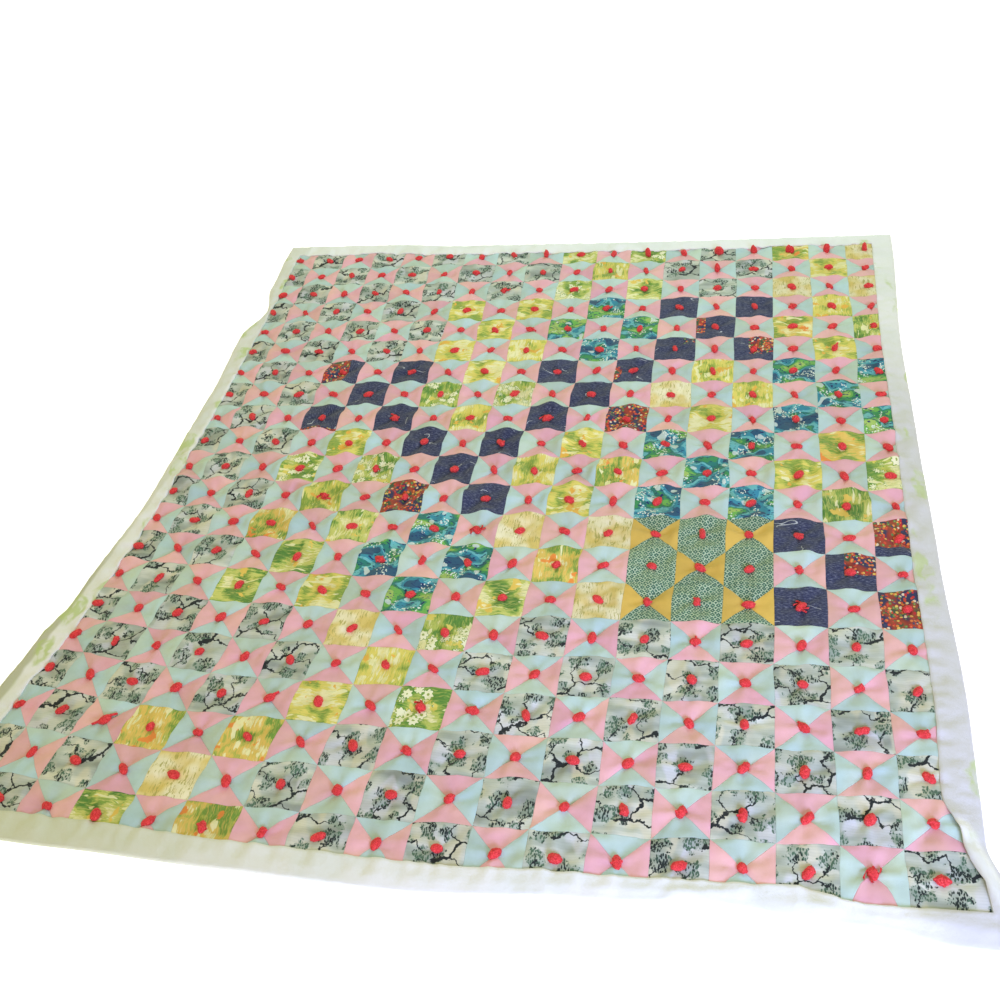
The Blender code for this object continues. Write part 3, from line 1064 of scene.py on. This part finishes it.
def print_teal(tree, cloth, draw):
    """Teal and blue bands with rounded green hills, navy dashes and sprays of small white flowers."""
    bent = tree.bend(cloth, 26.0, 1.0, 0.03)
    colour = tree.ramp(
        tree.noise(tree.stretch(bent, 1.0, 1.5), 17.0, 1.0, 0.4) + (draw[1] - 0.5) * 0.12,
        (0.0, shade(46, 88, 116)),
        (0.37, shade(58, 138, 160)),
        (0.44, shade(104, 180, 186)),
        (0.51, shade(46, 122, 112)),
        (0.55, shade(64, 142, 86)),
        (0.60, shade(112, 176, 82)),
        (0.66, shade(160, 190, 100)),
        interpolation="CONSTANT",
    )
    dash = tree.noise(tree.stretch(bent, 1.0, 3.0), 105.0, 1.0)
    colour = tree.mix(tree.step(dash, 0.61, 0.64), colour, shade(36, 52, 100))
    pale = tree.noise(cloth, 34.0, 0.0)
    colour = tree.mix(tree.step(pale, 0.70, 0.72, 0.0, 0.8), colour, shade(206, 222, 220))
    clump = tree.noise(cloth, 21.0, 2.0, 0.55) + 0.46 > 1.0
    flower = tree.step(tree.cells(cloth, 190.0)["Distance"], 0.30, 0.46, 1.0, 0.0)
    return tree.mix(clump * flower, colour, shade(222, 232, 226))


SCROLL_PITCH = 0.0115
SCROLL_RING = 0.30


def print_scroll(tree, cloth, draw):
    """Dark green with a small pale lattice of rings joined by short bars."""
    bent = tree.bend(cloth, 160.0, 1.0, 0.0022)
    cell = tree.vector("FRACTION", bent * (1.0 / SCROLL_PITCH))
    x, y, _ = tree.split(cell - (0.5, 0.5, 0.0))
    reach = tree.math("SQRT", x * x + y * y)
    ring = tree.step(abs(reach - SCROLL_RING), 0.05, 0.10, 1.0, 0.0)
    bar = tree.step(least(abs(x), abs(y)), 0.05, 0.10, 1.0, 0.0) * (reach > 0.38)
    knot = tree.step(abs(x) + abs(y), 0.84, 0.90)
    worn = tree.step(tree.noise(cloth, 300.0, 1.0), 0.34, 0.56, 0.55, 1.0)
    mottle = tree.step(tree.noise(bent, 260.0, 1.0), 0.50, 0.60)
    ground = tree.mix(mottle, shade(60, 99, 84), shade(92, 130, 106))
    return tree.mix(most(most(ring, bar), knot) * worn, ground, shade(190, 208, 180))


# The deep, middle and light grass and the blossom of each meadow cloth
MEADOWS = {
    "meadow_yellow": (shade(128, 156, 66), shade(180, 188, 84), shade(222, 208, 106), shade(228, 178, 74)),
    "meadow_orange": (shade(112, 148, 60), shade(176, 182, 86), shade(222, 190, 98), shade(230, 142, 64)),
    "meadow_green": (shade(84, 130, 56), shade(134, 164, 72), shade(200, 202, 112), shade(226, 194, 92)),
}
PRINTS = {
    "grey_branches": print_grey,
    "cream_leaves": print_cream,
    "daisy_green": print_daisy,
    "navy_weave": print_navy,
    "calico_flowers": print_calico,
    "teal_hills": print_teal,
    "green_scroll": print_scroll,
}


def print_colour(name, tree, cloth, draw):
    """The colour of a cloth's print, by the cloth's name."""
    dyes = {
        "pink_plain": (rgba(settings().pink), shade(229, 170, 190)),
        "aqua_plain": (rgba(settings().aqua), shade(180, 208, 216)),
        "gold_plain": (shade(211, 175, 80), shade(222, 186, 94)),
    }
    if name in dyes:
        return plain(tree, cloth, draw, *dyes[name])
    if name in MEADOWS:
        return meadow(tree, cloth, draw, *MEADOWS[name])
    return PRINTS[name](tree, cloth, draw)


def matt_material(name, paint, depth, strength, constants):
    """A matt material: paint gives its colour, roughness and height, and constants go on its shader."""
    material = bpy.data.materials.new(name)
    material.use_nodes = True
    tree = Tree(material.node_tree)
    surface = material.node_tree.nodes["Principled BSDF"].inputs
    colour, roughness, height = paint(tree)
    bump = tree.add("ShaderNodeBump", {"Height": height, "Distance": depth, "Strength": strength})[0]
    for label, value in {"Base Color": colour, "Roughness": roughness, "Normal": bump, **constants}.items():
        tree.feed(surface[label], value)
    return material


def cloth_material(name):
    """A cotton with a print on its own UV map."""

    def paint(tree):
        cloth = tree.add("ShaderNodeUVMap", uv_map="cloth")[0]
        block = tree.add("ShaderNodeUVMap", uv_map="block")[0]
        patch = tree.add("ShaderNodeAttribute", attribute_name="patch")
        draw = tree.split(patch["Color"])
        colour = print_colour(name, tree, cloth, draw)
        cotton = tree.group(
            "cotton", Colour=colour, Cloth=cloth, Block=block, Tone=draw[0], Diagonals=patch["Alpha"]
        )
        return cotton["Colour"], cotton["Roughness"], cotton["Height"]

    sheen = {"Specular IOR Level": 0.25, "Sheen Weight": 0.15, "Sheen Roughness": 0.5}
    return matt_material(name, paint, 0.001, 0.6, sheen)


CLOTH_WIDTH = 1.1


class QUILT_OT_patchwork(bpy.types.Operator):
    """Piece the top from its squares and triangles, one object for each cloth"""

    bl_idname = "quilt.patchwork"
    bl_label = "Pieced Top"

    def execute(self, context):
        bm, across, along, formed = make_top(context)
        areas = name_faces(bm, across, along, formed)
        SURFACE["top"] = BVHTree.FromBMesh(bm)
        materials = [cloth_material(name) for name in CLOTHS]
        whole = add_piece("pieced_top", bm, *materials)
        for other in context.selected_objects:
            other.select_set(False)
        context.view_layer.objects.active = whole
        whole.select_set(True)
        bpy.ops.mesh.separate(type="MATERIAL")
        for piece in list(context.selected_objects):
            name = piece.active_material.name
            piece.name = piece.data.name = name
            area = areas[CLOTHS.index(name)]
            width = min(CLOTH_WIDTH, math.sqrt(area))
            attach(piece, "root")
            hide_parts("patchwork_panel")
            area / width
            piece.select_set(False)
        return {"FINISHED"}


SURFACE = {}


def height_on_top(x, y):
    """The height of the pieced top at a place, in metres."""
    hit = SURFACE["top"].ray_cast(Vector((x, y, 1.0)), Vector((0.0, 0.0, -1.0)))[0]
    if hit is None:
        hit = SURFACE["top"].find_nearest(Vector((x, y, settings().edge_height)))[0]
    return hit.z


# The backing, turned over the edge

HEM_CELLS = 8
STRIP_CELLS = 16
FOLD_LINE_RISE = 0.0011
HEM_PUCKER = 0.0024
HEM_FOLDS = (
    Fold(17.82, 1.95, 18.42, 0.25, rise=0.009, width=0.085),
    Fold(17.0, 0.12, 18.3, 0.02, rise=0.004, width=0.07),
    Fold(13.4, 0.1, 14.6, 0.32, rise=0.004, width=0.06),
)
# How the edge turns under, ring by ring: the share of the way down to the floor, and metres outward
TURN_UNDER = ((0.22, 0.0022), (0.50, 0.0008), (0.80, -0.0012), (0.955, -0.0040), (0.985, -0.012))
UNDERSIDE = 0.0003
TUCK_INWARD = 0.0004
TUCK_DROPS = (0.35, 1.6)


def hem_places(blocks):
    """Lines across the turned-over hem at both ends, and even lines between them."""
    hem = np.linspace(0.0, HEM_LINE, HEM_CELLS + 1)
    tie = np.linspace(HEM_LINE, 0.5, 3)
    middle = np.linspace(0.5, blocks - 0.5, int(blocks - 1) * STRIP_CELLS + 1)
    return np.concatenate([hem[:-1], tie[:-1], middle, blocks - tie[-2::-1], blocks - hem[-2::-1]])


def across_hem(from_edge, fold, hem, tie):
    """A place from the fold to the outer ties: fold to hem edge, hem edge to tie, and beyond as it lies."""
    on_hem = fold + (hem - fold) * from_edge / HEM_LINE
    beside = hem + (tie - hem) * (from_edge - HEM_LINE) / (0.5 - HEM_LINE)
    return np.where(from_edge < HEM_LINE, on_hem, np.where(from_edge < 0.5, beside, tie))


def hem_line(sides, from_start, total, beside, tie):
    """Where the hem lies between two opposite sides; its inner edge stays clear of the ties."""
    first, last = sides
    first_hem = np.minimum(read_side(first, "hem", beside), tie - LEAST_HEM_TO_TIE)
    last_hem = np.maximum(read_side(last, "hem", beside), tie + LEAST_HEM_TO_TIE)
    place = across_hem(from_start, read_side(first, "fold", beside), first_hem, tie)
    other = across_hem(total - from_start, read_side(last, "fold", beside), last_hem, tie)
    return np.where(from_start > total - 0.5, other, place)


def hem_plan(across, along):
    """Where places of the turned-over hem lie, in blocks."""
    _, _, tie_x, tie_y = near_ties(across, along)
    x = hem_line((LEFT_SIDE, RIGHT_SIDE), across, COLUMNS, along, tie_x)
    y = hem_line((NEAR_END, FAR_END), along, ROWS, across, tie_y)
    return x, y


def hem_wrinkles(across, along, x, y):
    """How far the hem's wrinkles, its puckers and the fold along its middle rise."""
    from_edge = to_side(across, along) / HEM_LINE
    wrinkle = noise_at(x, y, 21.0, 3.2) * 0.0016 + noise_at(x, y, 23.0, 9.0) * 0.0005
    wrinkle += FOLD_LINE_RISE * np.exp(-(((from_edge - 0.45) / 0.12) ** 2))
    pucker = 1.0 - np.abs(noise_at(x + 0.8 * y, 0.3 * y - 0.2 * x, 27.0, 2.6))
    return np.abs(wrinkle) + HEM_PUCKER * pucker**6 + fold_rise(x, y, HEM_FOLDS)


def make_backing():
    """The backing: the hem on the front, round the outer fold and the whole underside."""
    thickness = settings().hem_thickness
    lines_across, lines_along = hem_places(COLUMNS), hem_places(ROWS)
    last_across, last_along = len(lines_across) - 1, len(lines_along) - 1
    bm, step_across, step_along = grid_with_places(last_across, last_along)
    inner = [
        face
        for face in bm.faces
        if all(
            HEM_CELLS <= step_across[v.index] <= last_across - HEM_CELLS
            and HEM_CELLS <= step_along[v.index] <= last_along - HEM_CELLS
            for v in face.verts
        )
    ]
    kept = {v for face in set(bm.faces) - set(inner) for v in face.verts}
    steps = {v: (step_across[v.index], step_along[v.index]) for v in kept}
    bmesh.ops.delete(bm, geom=inner, context="FACES")
    verts = list(bm.verts)
    across = np.array([lines_across[steps[v][0]] for v in verts])
    along = np.array([lines_along[steps[v][1]] for v in verts])
    x, y = hem_plan(across, along)
    rises = thickness + hem_wrinkles(across, along, x, y)
    for vertex, rise, place in zip(verts, rises, zip(*to_metres(x, y))):
        vertex.co = (*place, height_on_top(*place) + rise)
    bmesh.ops.smooth_vert(bm, verts=bm.verts, factor=0.4, use_axis_z=True)
    for vertex in verts:
        vertex.co.z = max(vertex.co.z, height_on_top(vertex.co.x, vertex.co.y) + 0.6 * thickness)
    outer = {v for v, (i, j) in steps.items() if i in (0, last_across) or j in (0, last_along)}
    rim = [e for e in bm.edges if e.is_boundary and set(e.verts) <= outer]
    hem_rim = [e for e in bm.edges if e.is_boundary and not set(e.verts) <= outer]
    outward = {
        v: Vector((side_of(steps[v][0], last_across), side_of(steps[v][1], last_along), 0.0)) for v in outer
    }
    for share, out in TURN_UNDER:
        rim, outward = extrude_rim(bm, rim, outward, share, out)
    tuck_hem_edge(bm, hem_rim)
    add_underside(bm, rim)
    return bm


def side_of(step, last):
    """-1 at the first line, 1 at the last and 0 between."""
    return int(step == last) - int(step == 0)


def extrude_ring(bm, edges):
    """Extrudes edges, and gives the new edges and the vertex that each new one came from."""
    made = bmesh.ops.extrude_edge_only(bm, edges=edges)["geom"]
    new = [item for item in made if isinstance(item, bmesh.types.BMVert)]
    fresh = set(new)
    came_from = {}
    for vertex in new:
        ends = (edge.other_vert(vertex) for edge in vertex.link_edges)
        came_from[vertex] = next(end for end in ends if end not in fresh)
    ring = [item for item in made if isinstance(item, bmesh.types.BMEdge) and set(item.verts) <= fresh]
    return ring, came_from


def extrude_rim(bm, rim, outward, share, out):
    """One more ring under the rim: part of the way down to the floor, moved out or in."""
    ring, came_from = extrude_ring(bm, rim)
    for vertex, over in came_from.items():
        vertex.co = over.co + outward[over] * out
        vertex.co.z = UNDERSIDE + (over.co.z - UNDERSIDE) * (1.0 - share)
    return ring, {vertex: outward[over] for vertex, over in came_from.items()}


def tuck_hem_edge(bm, edges):
    """Rounds the hem's inner edge down on to the pieced top."""
    for drop in TUCK_DROPS:
        edges, came_from = extrude_ring(bm, edges)
        for vertex, over in came_from.items():
            inward = Vector((-over.co.x, -over.co.y, 0.0)).normalized()
            vertex.co = over.co + inward * TUCK_INWARD
            vertex.co.z = over.co.z - drop * settings().hem_thickness


def add_underside(bm, rim):
    """The flat underside, filled in one piece inside the rim."""
    made = bmesh.ops.triangle_fill(bm, edges=rim, use_beauty=True, normal=(0.0, 0.0, -1.0))
    for item in made["geom"]:
        if isinstance(item, bmesh.types.BMFace) and item.normal.z > 0.0:
            item.normal_flip()


# Where the leaf print of the sheeting shows at the sides and where it ends near the near end, in metres
LEAF_FROM = 0.74
LEAF_NEAR = -0.98
LEAF_TURN = 0.7
# The crest of the fold at the near right corner, left light as a painted highlight where the right side is
# darkened with painted shade
LIT_RIDGE_START = (0.915, -0.900, 0.0)
LIT_RIDGE_END = (0.975, -1.070, 0.0)
LIT_RIDGE_WIDTH = 0.007
SHEETING_THREAD = 0.0006


def paint_sheeting(tree):
    """Thin white sheeting with a pale green leaf print, read in the cloth's own place, with painted shade on
    its right side, along its left outer fold and at its near end, and a painted highlight on the crest of the
    near right fold.
    """
    flat = tree.add("ShaderNodeTexCoord")["Object"] * (1.0, 1.0, 0.0)
    x, y, _ = tree.split(flat)
    stain = tree.step(tree.noise(flat, 8.0, 2.0), 0.42, 0.62)
    ground = tree.mix(stain, shade(235, 235, 238), shade(228, 230, 230))
    # The right side is darkened as painted shade, most on its nearer part, except along the crest of the near
    # right fold, which is left out of it as a painted highlight
    lit_ridge = tree.group("stroke_distance", Place=flat, Start=LIT_RIDGE_START, End=LIT_RIDGE_END, Width=LIT_RIDGE_WIDTH)
    shaded = tree.step(x, 0.80, 0.90) * tree.step(y, 0.1, 0.7, 1.0, 0.15)
    shaded = shaded * tree.step(lit_ridge["Distance"], 0.0, 0.012)
    ground = tree.mix(shaded, ground, shade(208, 208, 213))
    # A painted shade along the outer fold of the left side, strongest towards the near end
    slant = x - least(y, 0.0) * 0.097
    olive = tree.step(slant, -0.868, -0.858, 1.0, 0.0) * tree.step(y, -0.45, -0.25, 0.75, 0.25)
    ground = tree.mix(olive, ground, shade(176, 178, 150))
    # Painted shade on the near end of the sheeting, strongest at the left and gone just past the middle
    near_edge_shade = tree.step(x, -0.75, 0.10, 0.62, 0.0) * tree.step(y, -1.0, -0.9, 1.0, 0.0)
    ground = tree.mix(near_edge_shade, ground, shade(196, 200, 166))
    bent = tree.bend(flat, 20.0, 2.0, 0.04)
    leaf = tree.cells(tree.stretch(bent, 1.0, 0.45, LEAF_TURN), 17.0)
    shape = tree.step(leaf["Distance"], 0.30, 0.42, 1.0, 0.0)
    beside = tree.step(abs(x), LEAF_FROM, LEAF_FROM + 0.04) * tree.step(x, 0.0, 0.1, 1.0, 0.85)
    beside = beside * tree.step(y, LEAF_NEAR, LEAF_NEAR + 0.06)
    where = tree.step(tree.noise(flat, 4.4, 1.0), 0.40, 0.48) * beside
    vein = tree.step(tree.noise(tree.stretch(bent, 1.0, 0.4, LEAF_TURN), 70.0, 2.0), 0.40, 0.60)
    colour = tree.mix(shape * where * (vein * 0.55 + 0.25), ground, shade(186, 204, 132))
    crumple = tree.noise(flat, 55.0, 3.0, 0.55)
    thread = tree.wave(x, SHEETING_THREAD) * tree.wave(y, SHEETING_THREAD)
    return colour, crumple * 0.1 + 0.78, thread * 0.03 + crumple * 1.6


class QUILT_OT_backing(bpy.types.Operator):
    """Lay the backing under the pieced top and turn its edge over on to the front"""

    bl_idname = "quilt.backing"
    bl_label = "Backing"

    def execute(self, context):
        bm = make_backing()
        area = sum(face.calc_area() for face in bm.faces)
        constants = {"Specular IOR Level": 0.25}
        sheeting = matt_material("backing_sheeting", paint_sheeting, 0.0015, 0.7, constants)
        piece = add_piece("backing_cloth", bm, sheeting)
        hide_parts("backing_sheet")
        hem = HEM_LINE * BLOCK
        width = (RIGHTMOST - LEFTMOST) * BLOCK + 2.0 * hem
        length = (FARTHEST - NEAREST) * BLOCK + 2.0 * hem
        min(area, width * length)
        return {"FINISHED"}


# The yarn ties

LongEnd = namedtuple("LongEnd", "heading back ahead")

# Where some free ends run, by row and column, with lengths in metres
LONG_ENDS = {
    (19, 3): LongEnd(0.75, back=0.026, ahead=0.026),
    (18, 6): LongEnd(0.7, back=0.009, ahead=0.022),
    (6, 17): LongEnd(1.2, back=0.009, ahead=0.022),
    (5, 9): LongEnd(-0.3, back=0.009, ahead=0.018),
    (21, 18): LongEnd(0.0, back=0.014, ahead=0.014),
    (18, 16): LongEnd(2.3, back=0.013, ahead=0.016),
}
LOOPED = ((15, 16), (21, 17), (9, 10), (9, 6), (4, 11), (12, 5), (18, 9), (3, 8), (13, 9))
TALL = ((1, 9), (1, 12), (1, 14), (1, 15), (1, 16), (1, 17), (1, 18), (2, 14))
TALL_RISE = 2.2
LOOP_BEND = 3.4
KNOT_SEGMENTS = 10
KNOT_RINGS = 6
STRAND_SIDES = 5
STRAND_STEPS = 4
STRAND_TIP = 0.8


def add_knot(bm, middle, turn, rise, draw):
    """The lumpy middle of a tie."""
    made = bmesh.ops.create_uvsphere(bm, u_segments=KNOT_SEGMENTS, v_segments=KNOT_RINGS, radius=1.0)
    radius = settings().knot_radius
    size = Vector((draw.uniform(1.0, 1.5), draw.uniform(0.76, 0.95), rise * draw.uniform(0.6, 0.8))) * radius
    waist = draw.choice((0.0, 0.0, 0.0, 0.25))
    seed = Vector((draw.uniform(0.0, 50.0), 0.0, 0.0))
    cosine, sine = math.cos(turn), math.sin(turn)
    for vertex in made["verts"]:
        lump = 1.0 + 0.14 * noise.noise(vertex.co * 1.4 + seed) - waist * math.exp(-((vertex.co.x / 0.4) ** 2))
        x, y, z = (part * side * lump for part, side in zip(vertex.co, size))
        vertex.co = middle + Vector((cosine * x - sine * y, sine * x + cosine * y, z))
        vertex.co.z = max(vertex.co.z, LEAST_HEIGHT)


def add_strand(bm, middle, heading, back, ahead, bend, rise, draw):
    """A short length of yarn over the knot, with a blunt free end on each side that droops to the cloth."""
    radius = settings().yarn_thickness / 2.0
    made = bmesh.ops.create_grid(bm, x_segments=STRAND_SIDES, y_segments=STRAND_STEPS, size=0.5)
    top = settings().knot_radius * rise * draw.uniform(0.35, 0.6)
    for vertex in made["verts"]:
        share = 2.0 * vertex.co.y
        reach = ahead * share if share > 0.0 else back * share
        angle = heading + bend * abs(share) * 0.6
        x = middle.x + math.cos(angle) * reach
        y = middle.y + math.sin(angle) * reach
        arch = middle.z + top * (1.0 - share * share) - 0.5 * top * share * share
        level = max(height_on_top(x, y) + radius, arch)
        thick = radius * (STRAND_TIP if abs(share) > 0.99 else 1.0)
        round_yarn = 2.0 * math.pi * (0.5 - vertex.co.x)
        side, up = thick * math.cos(round_yarn), thick * math.sin(round_yarn)
        vertex.co = Vector((x - math.sin(angle) * side, y + math.cos(angle) * side, level + up))
    bmesh.ops.remove_doubles(bm, verts=made["verts"], dist=0.00001)


def add_tie(knots, strands, row, column, draw):
    """One tie: a knot where the cloth is pulled down, and two strands across it."""
    across, along = np.array([column - 0.5]), np.array([ROWS - row + 0.5])
    x, y = to_metres(*(value[0] for value in plan(across, along)))
    turn = draw.uniform(0.0, math.pi)
    looped = (row, column) in LOOPED
    rise = TALL_RISE if (row, column) in TALL else 1.0
    middle = Vector((x, y, height_on_top(x, y) + 0.35 * settings().knot_radius * rise))
    long_end = LONG_ENDS.get((row, column))
    if long_end:
        add_strand(strands, middle, long_end.heading, long_end.back, long_end.ahead, 0.0, rise, draw)
        turn = long_end.heading
    add_knot(knots, middle, turn, rise, draw)
    for cross in (0.0, draw.choice((-1.0, 1.0)) * draw.uniform(0.3, 1.1)):
        back, ahead = draw.uniform(0.006, 0.0115), draw.uniform(0.006, 0.0115)
        bend = LOOP_BEND if looped else draw.uniform(-1.0, 1.0)
        if looped:
            back, ahead = 1.8 * back, 1.8 * ahead
        add_strand(strands, middle, turn + cross, back, ahead, bend, rise, draw)


def add_to(whole, part):
    """Adds a small bmesh to a larger one."""
    mesh = bpy.data.meshes.new("part")
    part.to_mesh(mesh)
    part.free()
    whole.from_mesh(mesh)
    bpy.data.meshes.remove(mesh)


def paint_wool(tree):
    """Red wool: twisted, fuzzy and darker in its folds as painted shade, with painted shade between strands and
    a painted highlight on raised strands.
    """
    place = tree.add("ShaderNodeTexCoord")["Object"]
    strands = tree.noise(place, 420.0, 3.0, 0.65, 1.2)
    red = settings().yarn
    # The colour follows the strands' relief: darker in the hollows as painted shade and lighter on raised
    # strands as a painted highlight
    dark = rgba(0.55 * part for part in red)
    highlight_red = (min(1.0, red[0] * 1.25), red[1] * 2.6, red[2] * 2.4, 1.0)
    colour = tree.ramp(strands, (0.36, dark), (0.50, rgba(red)), (0.64, highlight_red))
    # Noise patches darkened as painted shade in the folds of the yarn
    fold_shade = tree.noise(place, 130.0, 2.0)
    colour = tree.mix(tree.step(fold_shade, 0.40, 0.62, 0.0, 0.35), colour, dark)
    return colour, strands * 0.2 + 0.72, strands


class QUILT_OT_ties(bpy.types.Operator):
    """Tie a knot of red yarn in the middle of each block"""

    bl_idname = "quilt.ties"
    bl_label = "Yarn Ties"

    def execute(self, context):
        draw = random.Random(COLUMNS * ROWS)
        knots, strands = bmesh.new(), bmesh.new()
        for row in range(1, ROWS + 1):
            row_knots, row_strands = bmesh.new(), bmesh.new()
            for column in range(1, COLUMNS + 1):
                add_tie(row_knots, row_strands, row, column, draw)
            add_to(knots, row_knots)
            add_to(strands, row_strands)
        constants = {"Specular IOR Level": 0.2, "Sheen Weight": 0.2, "Sheen Tint": (1.0, 0.55, 0.5, 1.0)}
        wool = matt_material("tie_wool", paint_wool, 0.0012, 0.9, constants)
        for name, bm in (("tie_knots", knots), ("tie_strands", strands)):
            bmesh.ops.recalc_face_normals(bm, faces=bm.faces)
            piece = add_piece(name, bm, wool)
        return {"FINISHED"}


# The stage

FLOOR_SIZE = 14.0
LENS = 39.715
SENSOR_WIDTH = 36.0
EYE = (14.441, -8.967, 16.415)
EYE_RIGHT = (0.97538, 0.17984, -0.12766)
EYE_UP = (-0.02415, 0.66244, 0.74873)
TIE_LEVEL = 0.013

Lamp = namedtuple("Lamp", "name place aim size power spread colour")
LAMPS = (
    Lamp("window", (1.5, -2.8, 0.95), (0.55, -0.62, 0.0), 1.1, 17.0, 76.0, (0.42, 0.52, 1.0)),
    Lamp("room", (0.5, 2.6, 2.2), (0.25, 0.6, 0.0), 1.8, 40.0, 180.0, (0.42, 0.78, 1.0)),
)
SKY = (1.0, 0.92, 0.55, 1.0)
SEEN_SKY = (1.25, 1.25, 1.25, 1.0)
SKY_STRENGTH = 0.76
FLOOR_GLOW = 0.75


def floor_material():
    material = bpy.data.materials.new("pale_floor")
    material.use_nodes = True
    tree = Tree(material.node_tree)
    surface = material.node_tree.nodes["Principled BSDF"].inputs
    cloud = tree.noise(tree.add("ShaderNodeTexCoord")["Object"], 1.2, 2.0)
    colour = tree.mix(tree.step(cloud, 0.3, 0.7), (0.86, 0.86, 0.86, 1.0), (0.90, 0.90, 0.90, 1.0))
    tree.feed(surface["Base Color"], colour)
    surface["Roughness"].default_value = 0.85
    surface["Emission Color"].default_value = (1.0, 1.0, 1.0, 1.0)
    surface["Emission Strength"].default_value = FLOOR_GLOW
    return material


class QUILT_OT_stage(bpy.types.Operator):
    """Set the pale floor, the soft lights and the camera"""

    bl_idname = "quilt.stage"
    bl_label = "Stage"

    def execute(self, context):
        scene = context.scene
        bm = bmesh.new()
        bmesh.ops.create_grid(bm, x_segments=2, y_segments=2, size=FLOOR_SIZE / 2.0)
        mesh = bpy.data.meshes.new("floor")
        bm.to_mesh(mesh)
        bm.free()
        mesh.materials.append(floor_material())
        floor = bpy.data.objects.new("floor", mesh)
        scene.collection.objects.link(floor)
        for lamp in LAMPS:
            light = bpy.data.lights.new(lamp.name, "AREA")
            light.energy, light.size, light.color = lamp.power, lamp.size, lamp.colour
            light.spread = math.radians(lamp.spread)
            holder = bpy.data.objects.new(lamp.name, light)
            holder.location = lamp.place
            aim = Vector(lamp.aim) - Vector(lamp.place)
            holder.rotation_euler = aim.to_track_quat("-Z", "Y").to_euler()
            scene.collection.objects.link(holder)
        world = bpy.data.worlds.new("studio")
        world.use_nodes = True
        tree = Tree(world.node_tree)
        background = world.node_tree.nodes["Background"]
        seen = tree.add("ShaderNodeLightPath")["Is Camera Ray"]
        tree.feed(background.inputs["Color"], tree.mix(seen, SKY, SEEN_SKY))
        background.inputs["Strength"].default_value = SKY_STRENGTH
        scene.world = world
        scene.view_settings.view_transform = "Standard"
        camera = bpy.data.cameras.new("photo_view")
        camera.lens, camera.sensor_width = LENS, SENSOR_WIDTH
        eye = bpy.data.objects.new("photo_view", camera)
        right, up = Vector(EYE_RIGHT).normalized(), Vector(EYE_UP).normalized()
        back = right.cross(up).normalized()
        up = back.cross(right).normalized()
        turn = Matrix((right, up, back)).transposed()
        place = Vector((*to_metres(EYE[0], EYE[1]), EYE[2] * BLOCK + TIE_LEVEL))
        eye.matrix_world = Matrix.Translation(place) @ turn.to_4x4()
        scene.collection.objects.link(eye)
        scene.camera = eye
        return {"FINISHED"}


class QUILT_PT_panel(bpy.types.Panel):
    """The quilt's steps, in order"""

    bl_label = "Quilt"
    bl_space_type = "VIEW_3D"
    bl_region_type = "UI"
    bl_category = "Quilt"

    def draw(self, context):
        for name in QuiltSettings.__annotations__:
            self.layout.prop(context.scene.quilt_settings, name)
        for operator in OPERATORS:
            self.layout.operator(operator.bl_idname)


OPERATORS = (QUILT_OT_patchwork, QUILT_OT_backing, QUILT_OT_ties, QUILT_OT_stage)
CLASSES = (QuiltSettings, *OPERATORS, QUILT_PT_panel)


def register():
    for cls in CLASSES:
        bpy.utils.register_class(cls)
    bpy.types.Scene.quilt_settings = bpy.props.PointerProperty(type=QuiltSettings)


def unregister():
    del bpy.types.Scene.quilt_settings
    for cls in reversed(CLASSES):
        bpy.utils.unregister_class(cls)


def main():
    register()
    bpy.ops.quilt.patchwork()
    bpy.ops.quilt.backing()
    bpy.ops.quilt.ties()
    bpy.ops.quilt.stage()


if __name__ == "__main__":
    main()
